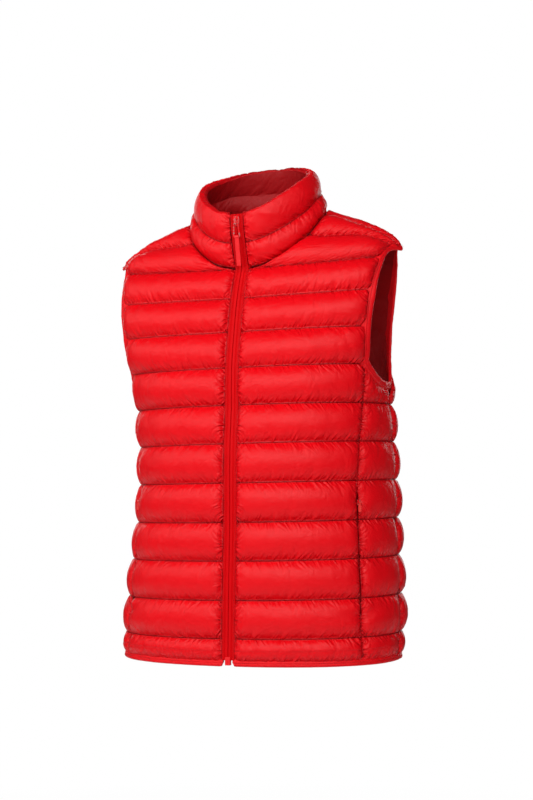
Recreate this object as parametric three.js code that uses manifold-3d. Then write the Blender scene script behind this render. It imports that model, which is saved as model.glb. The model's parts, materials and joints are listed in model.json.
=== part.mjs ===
// A sleeveless quilted puffer vest, hollow as it is when worn, with its front zip closed.
// Millimetres, +Z up, -Y is the front, +X is the wearer's left. The origin is between the wearer's
// shoulders, at the height where the neck meets them.
import * as THREE from "three";
import { mergeVertices } from "three/addons/utils/BufferGeometryUtils.js";
import Module from "manifold-3d";

const wasm = await Module();
wasm.setup();

// Driving dimensions
const HEM_Z = -603; // where the panels end and the hem binding starts
const CHEST_Z = -264; // above this level the sections start to close towards the shoulders
const WALL = 2.6; // cloth, filling and lining where they are stitched flat
const SEAM_GAP = 0.3; // between pieces that are sewn together
const PUFF = { front: 8.5, side: 7, back: 8, collar: 6 }; // height of a baffle over its stitch lines
const ZIP_HALF = 9; // from the zip's middle to the edge of a front panel
const NECK_X = 95; // half the neck opening, at the shoulder seams
const TIP_X = 205; // half the width between the armholes, at the shoulder seams
const SEAM_BEARING = 82; // bearing of the shoulder seam over the shoulder: 90 is the ridge
const BINDING = { width: 9, below: 3, above: 2.2 }; // armhole and hem bindings
const COLLAR_REACH = 2.5; // the collar's wall, inside its stitched line

// Body sections at stitched lines: half width, centre, depths and roundness (2 is an ellipse)
const FORM_COLUMNS = ["z", "half_width", "centre_y", "front", "back", "front_power"];
const FORM = [
  [-640, 196, 6, 130, 112, 2.2],
  [-611, 196, 6, 130, 112, 2.2],
  [-560, 196, 8, 134, 110, 2.2],
  [-500, 192, 12, 142, 102, 2.2],
  [-440, 186, 17, 150, 92, 2.2],
  [-380, 182, 21, 158, 84, 2.2],
  [-320, 180, 20, 156, 84, 2.2],
  [-264, 179, 14, 143, 92, 2.3],
  [-214, 182, 8, 136, 102, 2.5],
  [-165, 192, 5, 130, 107, 2.9],
  [-119, 203, 3, 128, 109, 3.0],
  [-77, 213, 2, 126, 110, 2.9],
  [-40, 224, 0, 125, 108, 2.7],
  [20, 230, 0, 125, 105, 2.6],
];
const BACK_POWER = 2.5;

// Height of the surface over the shoulder, for the front and the back of the neck hole
const RIDGE_COLUMNS = ["x", "front_top", "back_top"];
const RIDGE = [
  [0, 14, 60],
  [60, 10, 42],
  [85, 6, 14],
  [95, 3, 3],
  [135, -12, -12],
  [168, -27, -27],
  [190, -41, -41],
  [203, -50, -50],
  [225, -68, -68],
];
const RIDGE_Y = 2;
const ARCH_COLUMNS = ["x", "front", "back"]; // roundness over the shoulder
const ARCH = [
  [0, 1.8, 2.1],
  [120, 1.8, 2.1],
  [190, 2.15, 2.35],
  [225, 2.2, 2.4],
];

// How the wearer stands: sideways shift, twist in degrees and sideways tilt at each height
const STANCE_COLUMNS = ["z", "shift", "twist", "tilt"];
const STANCE = [
  [-640, -5, 0, 0.005],
  [-560, -3, 0, 0.018],
  [-460, 0, 0.3, 0.022],
  [-380, 2, 0.5, 0.022],
  [-264, -1, 1.5, 0.025],
  [-190, -5, 2.8, 0.03],
  [-100, -5, 3, 0.032],
  [-40, -2, 3, 0.032],
  [100, 0, 3, 0.032],
];

// Stitch lines from the hem up, and how much each rises towards the armhole
const LINE_COLUMNS = ["line", "front_z", "back_z", "front_rise"];
const LINES = [
  [0, HEM_Z, HEM_Z, 0],
  [1, -573, -573, 0],
  [2, -522, -522, 0],
  [3, -470, -470, 0],
  [4, -419, -419, 0],
  [5, -367, -367, 0],
  [6, -315, -315, 0],
  [7, CHEST_Z, CHEST_Z, 0],
  [8, -214, -213, 1],
  [9, -165.5, -162, 2],
  [10, -119, -112, 5],
  [11, -77, -63, 8],
];
const TOP_LINE = 11; // the last line that runs level
const LAST_LINE = 13; // the shoulder seam
const RISE_X = 180;
const UPPER_BEARING = { neck: 60.6, tip: 73, from_x: 84, to_x: 190 }; // of line 12 in front

// Half widths of the panels: the side panel's front seam, then the armhole
const FRONT_EDGE_COLUMNS = ["z", "x"];
const FRONT_EDGE = [
  [-640, 169],
  [-603, 169],
  [-564, 166],
  [-516, 164],
  [-465, 160],
  [-408, 156],
  [-361, 155],
  [-309, 157],
  [-264, 161],
  [-212, 166],
  [-187, 169],
  [-149, 172],
  [-102, 178],
  [-69, 184],
];
const BACK_EDGE_COLUMNS = ["z", "share"]; // share of the section's half width
const BACK_EDGE = [
  [-640, 1],
  [-262, 1],
  [-243, 0.996],
  [-213, 0.957],
  [-162, 0.893],
  [-112, 0.862],
  [-63, 0.848],
];
const SIDE_LINE = 7; // the last stitch line across the side panel
const ARMHOLE_FRONT_Z = -212; // where the armhole crosses the side panel's front seam
const ARMHOLE_DIP = 31;
const BACK_NECK_BEARING = 60.6; // of the neckline at the middle of the back

// Collar: the height of its top edge at each bearing round the neck, from the middle of the front
const COLLAR_COLUMNS = ["bearing", "top_z"];
const COLLAR_TOP = [
  [0, -5],
  [20, 0],
  [45, 18],
  [70, 38],
  [95, 54],
  [120, 66],
  [150, 77],
  [180, 80],
];
const COLLAR_RING = { half_width: 76, front: -104, back: 44, centre_y: -29, turn: -4 }; // its top edge
const COLLAR = { middle: 0.45, bulge: 3, lining: 3, lining_puff: 3.5 }; // middle: share below its stitch line

// Zip. Heights are out of the panels' stitched surface
const ZIP = { tape_back: -2.3, tape: -1, lip: 0.6, lip_to: 4.3, band_from: 5.8, band: 0.1, slit: 0.25 };
const CHAIN = { half: 2.1, back: -3.9, front: -2.6 };
const SLIDER = { below_top: 11, length: 13, width: 9.4, front: 0.95, plate: 1.4, back: -4.2, post: 1.1 };
const BRIDGE = { length: 8.4, width: 1.7, thick: 1.3, under: 5.3 };
const LINK = { hinge: 4.1, down: 1.2, length: 21.5, top: 5.8, bottom: 10, bar: 1.6, thick: 1.5 };
const TAB = { length: 39, width: 6, eye: 2.3, hole: 1.35, thick: 2.8, strip_from: 19, strip: 1.9 };
const BOX = { above: 5.6, half: 3.7, height: 10.6, back: -3.2, front: 1.9 };

// Pocket zips, in the seams between the front and side panels
const POCKET = { top: -378, bottom: -543, slit: 1.1, half: 6, front: -3.3, back: -4.4 };
const POCKET_SLIDER = { z: -393, length: 7, width: 4.4, plate: 1.2, proud: 2.5, post: 0.8 };
const POCKET_HINGE = { proud: 5.4, pin: 0.55, lug: 0.8, between: 2.8 };
const POCKET_PULL = { length: 12.5, width: 3.6, thick: 1, eye: 1.3, hole: 0.85 };

const COLOUR = { cloth: 0xd8141c, dark: 0xb00f16, trim: 0xe01a20, metal: 0xc8302c, rubber: 0xdc2a28 };

const lerp = (a, b, t) => a + (b - a) * t;
const clamp = (x, a, b) => Math.min(b, Math.max(a, x));
const rad = THREE.MathUtils.degToRad;
const deg = THREE.MathUtils.radToDeg;
const smooth = (t) => t * t * (3 - 2 * t);
const range = (from, to, steps) => Array.from({ length: steps + 1 }, (_, i) => lerp(from, to, i / steps));
const signedPower = (v, p) => Math.sign(v) * Math.abs(v) ** p;

// A smooth curve through one column of a table, whose first column is the position.
function column(table, columns, name) {
  const k = columns.indexOf(name);
  const slope = (i) => {
    const lo = Math.max(i - 1, 0);
    const hi = Math.min(i + 1, table.length - 1);
    return (table[hi][k] - table[lo][k]) / (table[hi][0] - table[lo][0]);
  };
  return (at) => {
    const x = clamp(at, table[0][0], table[table.length - 1][0]);
    let i = 0;
    while (i < table.length - 2 && x >= table[i + 1][0]) i++;
    const h = table[i + 1][0] - table[i][0];
    const t = (x - table[i][0]) / h;
    return (
      (2 * t ** 3 - 3 * t ** 2 + 1) * table[i][k] +
      (t ** 3 - 2 * t ** 2 + t) * h * slope(i) +
      (3 * t ** 2 - 2 * t ** 3) * table[i + 1][k] +
      (t ** 3 - t ** 2) * h * slope(i + 1)
    );
  };
}

const form = Object.fromEntries(FORM_COLUMNS.slice(1).map((c) => [c, column(FORM, FORM_COLUMNS, c)]));
const stance = Object.fromEntries(STANCE_COLUMNS.slice(1).map((c) => [c, column(STANCE, STANCE_COLUMNS, c)]));
const lines = Object.fromEntries(LINE_COLUMNS.slice(1).map((c) => [c, column(LINES, LINE_COLUMNS, c)]));
const ridge = {
  front: column(RIDGE, RIDGE_COLUMNS, "front_top"),
  back: column(RIDGE, RIDGE_COLUMNS, "back_top"),
};
const arch = { front: column(ARCH, ARCH_COLUMNS, "front"), back: column(ARCH, ARCH_COLUMNS, "back") };
const frontEdge = column(FRONT_EDGE, FRONT_EDGE_COLUMNS, "x");
const backEdgeShare = column(BACK_EDGE, BACK_EDGE_COLUMNS, "share");
const collarTopZ = column(COLLAR_TOP, COLLAR_COLUMNS, "top_z");

// The wearer's stance bends the upright form.
function pose(x, y, z) {
  const twist = rad(stance.twist(z));
  return new THREE.Vector3(
    x * Math.cos(twist) - y * Math.sin(twist) + stance.shift(z),
    x * Math.sin(twist) + y * Math.cos(twist),
    z + x * stance.tilt(z),
  );
}

// y of the front (face -1) or the back (face 1) at x and z, where left is the share of the depth that
// the curve over the shoulder leaves.
function faceY(face, x, z, left) {
  const power = face < 0 ? form.front_power(z) : BACK_POWER;
  const depth = face < 0 ? form.front(z) : form.back(z);
  const across = Math.max(0, 1 - Math.abs(x / form.half_width(z)) ** power) ** (1 / power);
  const middle = lerp(form.centre_y(z), RIDGE_Y, clamp((z - CHEST_Z) / -CHEST_Z, 0, 1));
  return middle + face * depth * across * left;
}

function levelPoint(face, x, z) {
  const side = face < 0 ? "front" : "back";
  const power = arch[side](Math.abs(x));
  const up = clamp((z - CHEST_Z) / (ridge[side](Math.abs(x)) - CHEST_Z), 0, 1);
  return pose(x, faceY(face, x, z, (1 - up ** power) ** (1 / power)), z);
}

// A point over the shoulder at a bearing: 0 is level with the chest, 90 on the ridge, and past 90 on
// the other face.
function shoulderPoint(face, x, bearing) {
  const over = bearing > 90;
  const here = over ? -face : face;
  const side = here < 0 ? "front" : "back";
  const power = arch[side](Math.abs(x));
  const turn = rad(over ? 180 - bearing : bearing);
  const z = lerp(CHEST_Z, ridge[side](Math.abs(x)), Math.sin(turn) ** (2 / power));
  return pose(x, faceY(here, x, z, Math.max(0, Math.cos(turn)) ** (2 / power)), z);
}

function bearingAt(face, x, z) {
  const side = face < 0 ? "front" : "back";
  const up = clamp((z - CHEST_Z) / (ridge[side](Math.abs(x)) - CHEST_Z), 0, 1);
  return deg(Math.asin(Math.min(1, up ** (arch[side](Math.abs(x)) / 2))));
}

// Angle round a section, from the middle of the face, of the point whose half width is x.
const angleOf = (x, z, power) => Math.asin(Math.min(1, (x / form.half_width(z)) ** (power / 2)));
const xOf = (angle, z, power) => form.half_width(z) * signedPower(Math.sin(angle), 2 / power);

const frontZ = (line, x) => lines.front_z(line) + lines.front_rise(line) * (x / RISE_X) ** 2;
const upperBearing = (x) =>
  lerp(
    UPPER_BEARING.neck,
    UPPER_BEARING.tip,
    smooth(clamp((x - UPPER_BEARING.from_x) / (UPPER_BEARING.to_x - UPPER_BEARING.from_x), 0, 1)),
  );

// Front panel: across runs from the zip to the side, line from the hem to the shoulder seam.
function frontX(across, line) {
  const z = lines.front_z(line);
  const power = form.front_power(z);
  const from = angleOf(ZIP_HALF, z, power);
  const to = angleOf(frontEdge(z + lines.front_rise(line)), z, power);
  return xOf(lerp(from, to, across), z, power);
}
function frontPoint(side, across, line) {
  if (line <= TOP_LINE) {
    const x = frontX(across, line);
    return levelPoint(-1, side * x, frontZ(line, x));
  }
  const rise = (line - TOP_LINE) / (LAST_LINE - TOP_LINE);
  const first = frontX(0, TOP_LINE);
  const last = frontX(1, TOP_LINE);
  const share = (frontX(across, TOP_LINE) - first) / (last - first);
  const inner = first + (NECK_X - first) * Math.sqrt(1 - (1 - rise) ** 2);
  const x = lerp(inner, lerp(last, TIP_X, smooth(rise) * 0.5 + rise * 0.5), share);
  const low = bearingAt(-1, x, frontZ(TOP_LINE, x));
  const middle = upperBearing(x);
  const bearing = rise < 0.5 ? lerp(low, middle, rise * 2) : lerp(middle, SEAM_BEARING, rise * 2 - 1);
  return shoulderPoint(-1, side * x, bearing);
}

// Side panel: across runs from its front seam to its back seam, line from the hem to the armhole.
function sidePoint(side, across, line) {
  const top = ARMHOLE_FRONT_Z - ARMHOLE_DIP * (1 - (1 - across) ** 2.2);
  const z = line <= SIDE_LINE ? lines.front_z(line) : lerp(CHEST_Z, top, line - SIDE_LINE);
  const power = form.front_power(z);
  const x = xOf(lerp(angleOf(frontEdge(z), z, power), Math.PI / 2, across), z, power);
  return levelPoint(-1, side * x, z);
}

// Back panel: across runs from the right armhole (-1) to the left one (1).
function backX(across, line) {
  const z = lines.back_z(line);
  const edge = form.half_width(z) * Math.min(1, backEdgeShare(z));
  return xOf(across * angleOf(edge, z, BACK_POWER), z, BACK_POWER);
}
const NECK_ACROSS = (() => {
  const z = lines.back_z(TOP_LINE);
  const edge = form.half_width(z) * backEdgeShare(z);
  return angleOf((edge * NECK_X) / TIP_X, z, BACK_POWER) / angleOf(edge, z, BACK_POWER);
})();
function backPoint(across, line) {
  if (line <= TOP_LINE) return levelPoint(1, backX(across, line), lines.back_z(line));
  const rise = (line - TOP_LINE) / (LAST_LINE - TOP_LINE);
  const last = backX(1, TOP_LINE);
  const x = (backX(across, TOP_LINE) / last) * lerp(last, TIP_X, rise ** 1.5);
  const seam = 180 - SEAM_BEARING;
  const near = Math.min(1, Math.abs(x) / NECK_X);
  const top = lerp(BACK_NECK_BEARING, seam, 1 - Math.sqrt(1 - near * near));
  return shoulderPoint(1, x, lerp(bearingAt(1, x, lines.back_z(TOP_LINE)), top, rise));
}

// Unit normal of a surface, out of the vest. flip is -1 where across runs clockwise seen from above.
function normalOf(point, a, b, aRange, bRange, flip) {
  const step = 2e-3;
  const d = (u, v) => point(clamp(u, ...aRange), clamp(v, ...bRange));
  const across = d(a + step, b).sub(d(a - step, b));
  const up = d(a, b + step * 4).sub(d(a, b - step * 4));
  return across.cross(up).normalize().multiplyScalar(flip);
}

const triangles = (points, faces) => {
  const geometry = new THREE.BufferGeometry();
  geometry.setAttribute("position", new THREE.Float32BufferAttribute(points.flatMap((p) => [p.x, p.y, p.z]), 3));
  geometry.setIndex(faces);
  return geometry;
};

// A closed wall between two grids of the same size, given as rows of points.
function wall(outer, inner, flip) {
  const rows = outer.length;
  const cols = outer[0].length;
  const points = [...outer.flat(), ...inner.flat()];
  const at = (layer, i, j) => layer * rows * cols + i * cols + j;
  const faces = [];
  const quad = (a, b, c, d) => faces.push(...(flip > 0 ? [a, b, c, a, c, d] : [a, c, b, a, d, c]));
  for (let i = 0; i < rows - 1; i++)
    for (let j = 0; j < cols - 1; j++) {
      quad(at(0, i, j), at(0, i, j + 1), at(0, i + 1, j + 1), at(0, i + 1, j));
      quad(at(1, i, j), at(1, i + 1, j), at(1, i + 1, j + 1), at(1, i, j + 1));
    }
  for (let j = 0; j < cols - 1; j++) {
    quad(at(0, 0, j), at(1, 0, j), at(1, 0, j + 1), at(0, 0, j + 1));
    quad(at(0, rows - 1, j), at(0, rows - 1, j + 1), at(1, rows - 1, j + 1), at(1, rows - 1, j));
  }
  for (let i = 0; i < rows - 1; i++) {
    quad(at(0, i, 0), at(0, i + 1, 0), at(1, i + 1, 0), at(1, i, 0));
    quad(at(0, i, cols - 1), at(1, i, cols - 1), at(1, i + 1, cols - 1), at(0, i + 1, cols - 1));
  }
  return triangles(points, faces);
}

// A closed tube through rings of the same size; a loop joins its last ring to its first.
function tube(rings, loop) {
  const n = rings[0].length;
  const points = rings.flat();
  const faces = [];
  const count = loop ? rings.length : rings.length - 1;
  for (let i = 0; i < count; i++)
    for (let j = 0; j < n; j++) {
      const k = (j + 1) % n;
      const next = ((i + 1) % rings.length) * n;
      faces.push(i * n + j, i * n + k, next + k, i * n + j, next + k, next + j);
    }
  if (!loop)
    for (let j = 1; j < n - 1; j++) {
      const end = (rings.length - 1) * n;
      faces.push(0, j + 1, j, end, end + j, end + j + 1);
    }
  const geometry = triangles(points, faces);
  const solid = toSolid(geometry);
  return solid.volume() < 0 ? triangles(points, faces.reverse()) : geometry;
}

function toSolid(geometry) {
  const bare = new THREE.BufferGeometry();
  bare.setAttribute("position", geometry.getAttribute("position").clone());
  if (geometry.index) bare.setIndex(geometry.index);
  const merged = mergeVertices(bare, 1e-4);
  return new wasm.Manifold(
    new wasm.Mesh({
      numProp: 3,
      vertProperties: new Float32Array(merged.attributes.position.array),
      triVerts: new Uint32Array(merged.index.array),
    }),
  );
}
function fromSolid(solid) {
  const mesh = solid.getMesh();
  const geometry = new THREE.BufferGeometry();
  geometry.setAttribute("position", new THREE.Float32BufferAttribute(mesh.vertProperties, 3));
  geometry.setIndex([...mesh.triVerts]);
  return geometry;
}

const group = new THREE.Group();
function add(name, geometry, colour, roughness = 0.55, metalness = 0, parent = group) {
  const material = new THREE.MeshStandardMaterial({ color: colour, roughness, metalness });
  const mesh = new THREE.Mesh(geometry, material);
  mesh.name = name;
  parent.add(mesh);
  return mesh;
}

// Height of a quilted baffle over its stitch lines, from 0 at a line to 1 at its crest. The last one
// is flatter towards the shoulder and neck seams.
const baffle = (line) => {
  const f = line % 1;
  return (4 * f * (1 - f)) ** (line > LAST_LINE - 0.4 ? 1.6 : 0.55);
};
const fromEdge = (mm) => 1 - Math.exp(-Math.max(0, mm) / 11);

const BAFFLE_STEPS = [0, 0.14, 0.5, 0.86];
const quiltLines = (last) => {
  const all = [];
  for (let i = 0; i < last; i++) all.push(...BAFFLE_STEPS.map((s) => i + s));
  return [...all, last];
};
const UPPER_STEPS = [10, 22, 36, 49, 60, 68, 79, 90].map(
  (a) => TOP_LINE + (LAST_LINE - TOP_LINE) * (1 - Math.cos(rad(a))),
);

// Half the opening of a pocket at a height, which the panels beside it stand back by.
const pocketOpening = (z) => POCKET.slit * smooth(clamp(Math.min(POCKET.top - z, z - POCKET.bottom) / 8, 0, 1));

// A quilted wall over point(across, line), with its edges set back by half a seam gap. pocket is the
// column on the pocket's seam, if there is one. base holds its stitched surface, as rows of points p
// with their normals n.
function quilted({ point, across, lineRows, puff, flip, pocket = null }) {
  const aRange = [across[0], across[across.length - 1]];
  const bRange = [lineRows[0], lineRows[lineRows.length - 1]];
  const base = [];
  const outer = [];
  const inner = [];
  for (const line of lineRows) {
    const row = across.map((a) => point(a, line));
    const end = row.length - 1;
    const baseRow = [];
    const outRow = [];
    const inRow = [];
    row.forEach((p, j) => {
      const normal = normalOf(point, across[j], line, aRange, bRange, flip);
      const onRim = line === bRange[0] || line === bRange[1] || j === 0 || j === end;
      const height = onRim ? 0 : baffle(line) * fromEdge(p.distanceTo(row[0])) * fromEdge(p.distanceTo(row[end]));
      const back = SEAM_GAP / 2 + (j === pocket ? pocketOpening(p.z) : 0);
      const at = p.clone();
      if (j === 0) at.add(row[1].clone().sub(p).setLength(back));
      if (j === end) at.add(row[end - 1].clone().sub(p).setLength(back));
      if (line === bRange[1]) at.add(point(across[j], line - 0.05).sub(p).setLength(SEAM_GAP / 2));
      if (line === bRange[0]) at.add(point(across[j], line + 0.05).sub(p).setLength(SEAM_GAP / 2));
      baseRow.push({ p: at, n: normal });
      outRow.push(at.clone().addScaledVector(normal, height * puff));
      inRow.push(at.clone().addScaledVector(normal, -WALL));
    });
    base.push(baseRow);
    outer.push(outRow);
    inner.push(inRow);
  }
  return { geometry: wall(outer, inner, flip), base };
}

const sides = [
  ["left", 1],
  ["right", -1],
];
const FRONT_ACROSS = [0, 0.07, 0.22, 0.5, 0.78, 0.93, 1];
const SIDE_ACROSS = [0, 0.14, 0.5, 0.86, 1];
const BACK_HALF = [0, 0.4, 0.75, 1].map((s) => s * NECK_ACROSS).concat([0.47, 0.64, 0.8, 0.93, 1]);
const BACK_ACROSS = [...BACK_HALF.slice(1).map((s) => -s).reverse(), ...BACK_HALF];

const ARMHOLE_ROWS = [7.41, 7.63, 7.88]; // of the back panel, from where the armhole starts
const QUILT_LINES = quiltLines(LAST_LINE);
const between = (from, to) => QUILT_LINES.filter((line) => line >= from && line < to);
const FRONT_ROWS = [...between(0, 8), 8.04, ...between(8.1, TOP_LINE), TOP_LINE, ...UPPER_STEPS];
const SIDE_ROWS = [...between(0, SIDE_LINE), SIDE_LINE, SIDE_LINE + 0.2, SIDE_LINE + 0.6, SIDE_LINE + 1];
const BACK_ROWS = [...between(0, 7), 7, 7.14, ...ARMHOLE_ROWS, ...between(8, LAST_LINE), LAST_LINE];

const back = quilted({ point: backPoint, across: BACK_ACROSS, lineRows: BACK_ROWS, puff: PUFF.back, flip: -1 });
add("back_panel", back.geometry, COLOUR.cloth);
const panels = {};
for (const [name, side] of sides) {
  const front = quilted({
    point: (a, b) => frontPoint(side, a, b),
    across: FRONT_ACROSS,
    lineRows: FRONT_ROWS,
    puff: PUFF.front,
    flip: side,
    pocket: FRONT_ACROSS.length - 1,
  });
  const under = quilted({
    point: (a, b) => sidePoint(side, a, b),
    across: SIDE_ACROSS,
    lineRows: SIDE_ROWS,
    puff: PUFF.side,
    flip: side,
    pocket: 0,
  });
  panels[name] = { front: front.base, side: under.base };
  add("front_panel_" + name, front.geometry, COLOUR.cloth);
  add("side_panel_" + name, under.geometry, COLOUR.cloth);
}

// A band with a rounded section that starts at a path and stands out from it by width, away from the
// panel. Each path point has its outward direction e and normal n.
function band(path, { width, below, above }, loop) {
  const section = [
    [0.15, 0.1],
    [width * 0.3, above * 0.55],
    [width * 0.8, above * 0.4],
    [width, (above - below) / 2 - 0.6],
    [width * 0.8, -below],
    [0.15, -below],
  ];
  return tube(
    path.map(({ p, n, e }) => section.map(([out, up]) => p.clone().addScaledVector(e, out).addScaledVector(n, up))),
    loop,
  );
}
// Direction across a path, square to it and to the normal, on the side that towards points to.
function withOutward(path, loop, towards) {
  return path.map(({ p, n }, i) => {
    const last = path.length - 1;
    const before = path[i > 0 ? i - 1 : loop ? last : 0].p;
    const after = path[i < last ? i + 1 : loop ? 0 : last].p;
    const e = after.clone().sub(before).cross(n).normalize();
    if (e.dot(towards(p)) < 0) e.negate();
    return { p, n, e };
  });
}

// One point in place of two that meet at a seam.
const midway = (a, b) => ({ p: a.p.clone().lerp(b.p, 0.5), n: a.n.clone().add(b.n).normalize() });

for (const [name, side] of sides) {
  const front = panels[name].front.filter((_, i) => FRONT_ROWS[i] > 8).map((row) => row.at(-1));
  const behind = back.base
    .filter((_, i) => BACK_ROWS[i] >= ARMHOLE_ROWS[0])
    .map((row) => row.at(side > 0 ? -1 : 0))
    .reverse();
  const under = [...panels[name].side.at(-1)].reverse();
  const path = [
    midway(under.at(-1), front[0]),
    ...front.slice(1, -1),
    midway(front.at(-1), behind[0]),
    ...behind.slice(1, -1),
    midway(behind.at(-1), under[0]),
    ...under.slice(1, -1),
  ];
  const middle = path.reduce((sum, { p }) => sum.add(p), new THREE.Vector3()).divideScalar(path.length);
  add(
    "armhole_binding_" + name,
    band(withOutward(path, true, (p) => middle.clone().sub(p)), BINDING, true),
    COLOUR.trim,
  );
}

// The hem binding runs round the panels' lower edge, open at the zip.
const lowerEdge = [
  ...[...panels.right.front[0]].slice(0, -1),
  midway(panels.right.front[0].at(-1), panels.right.side[0][0]),
  ...panels.right.side[0].slice(1, -1),
  midway(panels.right.side[0].at(-1), back.base[0][0]),
  ...back.base[0].slice(1, -1),
  midway(back.base[0].at(-1), panels.left.side[0].at(-1)),
  ...[...panels.left.side[0]].reverse().slice(1, -1),
  midway(panels.left.side[0][0], panels.left.front[0].at(-1)),
  ...[...panels.left.front[0]].reverse().slice(1),
];
const down = new THREE.Vector3(0, 0, -1);
add("hem_binding", band(withOutward(lowerEdge, false, () => down), { ...BINDING, width: 8 }, false), COLOUR.trim);

// Collar: stations round the neck from the right end of the zip to its left end, each on the panels'
// neck edge, and rows from that edge to the top.
const neckRows = FRONT_ROWS.map((line, i) => [line, i]).filter(([line]) => line >= TOP_LINE);
const neckOf = (name) => neckRows.map(([, i]) => panels[name].front[i][0]);
const backNeck = back.base.at(-1).filter((_, j) => Math.abs(BACK_ACROSS[j]) <= NECK_ACROSS + 1e-6);
const neckEdge = [
  ...neckOf("right").slice(0, -1),
  midway(neckOf("right").at(-1), backNeck[0]),
  ...backNeck.slice(1, -1),
  midway(backNeck.at(-1), neckOf("left").at(-1)),
  ...neckOf("left").reverse().slice(1),
];
const COLLAR_ROWS = [0, 0.06, 0.22, 0.39, COLLAR.middle, 0.52, 0.72, 0.92, 1];
const collarBearing = ({ p }) => deg(Math.atan2(p.x - stance.shift(p.z), COLLAR_RING.centre_y - p.y));
const firstBearing = Math.abs(collarBearing(neckEdge.at(-1)));
const collarBase = COLLAR_ROWS.map((h) =>
  neckEdge.map((edge, k) => {
    const bearing = k === 0 || k === neckEdge.length - 1 ? firstBearing : Math.abs(collarBearing(edge));
    const side = k < neckEdge.length / 2 ? -1 : 1;
    const zipBearing = deg(Math.asin(ZIP_HALF / COLLAR_RING.half_width));
    const turned = lerp(zipBearing, 180, (bearing - firstBearing) / (180 - firstBearing));
    const depth = turned < 90 ? COLLAR_RING.centre_y - COLLAR_RING.front : COLLAR_RING.back - COLLAR_RING.centre_y;
    const turn = rad(COLLAR_RING.turn);
    const x = side * COLLAR_RING.half_width * Math.sin(rad(turned));
    const y = -depth * Math.cos(rad(turned));
    const top = pose(
      x * Math.cos(turn) - y * Math.sin(turn),
      COLLAR_RING.centre_y + x * Math.sin(turn) + y * Math.cos(turn),
      collarTopZ(turned),
    );
    const start = edge.p.clone();
    start.add(top.clone().sub(start).setLength(SEAM_GAP + 0.9));
    const out = new THREE.Vector3(side * Math.sin(rad(turned)), -Math.cos(rad(turned)), 0);
    return start.lerp(top, h).addScaledVector(out, COLLAR.bulge * Math.sin(Math.PI * h));
  }),
);
const gridNormal = (grid, i, j) => {
  const row = grid[i];
  const along = row[Math.min(j + 1, row.length - 1)].clone().sub(row[Math.max(j - 1, 0)]);
  const up = grid[Math.min(i + 1, grid.length - 1)][j].clone().sub(grid[Math.max(i - 1, 0)][j]);
  return up.cross(along).normalize();
};
const collarNormals = collarBase.map((row, i) => row.map((_, j) => gridNormal(collarBase, i, j)));
// Height of the collar's filling: two baffles, the upper one rounding over at the top edge.
const collarFill = (h) => {
  const share = h < COLLAR.middle ? h / COLLAR.middle : (h - COLLAR.middle) / (1.12 - COLLAR.middle);
  return h === 1 ? 0.35 : (4 * share * (1 - share)) ** (h < COLLAR.middle / 2 ? 1.3 : 0.55);
};
const collarShell = (from, to, puffFrom, puffTo) => {
  const layer = (offset, puff) =>
    collarBase.map((row, i) =>
      row.map((p, j) => {
        const open = j === 0 || j === row.length - 1 || COLLAR_ROWS[i] === 0 ? 0 : 1;
        return p.clone().addScaledVector(collarNormals[i][j], offset + puff * open * collarFill(COLLAR_ROWS[i]));
      }),
    );
  return wall(layer(from, puffFrom), layer(to, puffTo), -1);
};
add("collar", collarShell(0, -WALL, PUFF.collar, 0), COLOUR.cloth);
add(
  "collar_lining",
  collarShell(-WALL - SEAM_GAP, -WALL - SEAM_GAP - COLLAR.lining, 0, -COLLAR.lining_puff),
  COLOUR.dark,
);

// The zip's middle: a frame at each station, from the hem to the top of the collar. x runs to the
// wearer's left, n out of the vest and t up the zip.
const zipEnds = [
  ...panels.left.front.slice(0, neckRows[0][1] + 1).map((row, i) => [row[0].p, panels.right.front[i][0].p]),
  ...collarBase.slice(1).map((row) => [row.at(-1), row[0]]),
];
const COLLAR_CLEAR = 0.5; // the collar's ends turn in towards the tapes
const zipLine = zipEnds.map(([left, right], i) => ({
  p: left.clone().lerp(right, 0.5),
  x: left.clone().sub(right).normalize(),
  half: left.distanceTo(right) / 2 - (i < neckRows[0][1] ? 0 : COLLAR_CLEAR),
}));
zipLine.forEach((station, i) => {
  const before = zipLine[Math.max(i - 1, 0)].p;
  const after = zipLine[Math.min(i + 1, zipLine.length - 1)].p;
  station.t = after.clone().sub(before).normalize();
  station.n = station.x.clone().cross(station.t).normalize();
});
let travelled = 0;
zipLine.forEach((station, i) => {
  travelled += i ? station.p.distanceTo(zipLine[i - 1].p) : 0;
  station.s = travelled;
});
const ZIP_LENGTH = travelled;
function zipFrame(s) {
  let i = 0;
  while (i < zipLine.length - 2 && s > zipLine[i + 1].s) i++;
  const a = zipLine[i];
  const b = zipLine[i + 1];
  const k = (s - a.s) / (b.s - a.s);
  const x = a.x.clone().lerp(b.x, k).normalize();
  const t = b.p.clone().sub(a.p).normalize();
  const n = x.clone().cross(t).normalize();
  return { p: a.p.clone().lerp(b.p, k), x, n, t: n.clone().cross(x) };
}
const placed = ({ p, x, t, n }) => new THREE.Matrix4().makeBasis(x, t, n).setPosition(p);
const strip = (stations, section) =>
  tube(
    stations.map(({ p, x, n, half = ZIP_HALF }) =>
      section(half).map(([across, out]) => p.clone().addScaledVector(x, across).addScaledVector(n, out)),
    ),
    false,
  );

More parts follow.
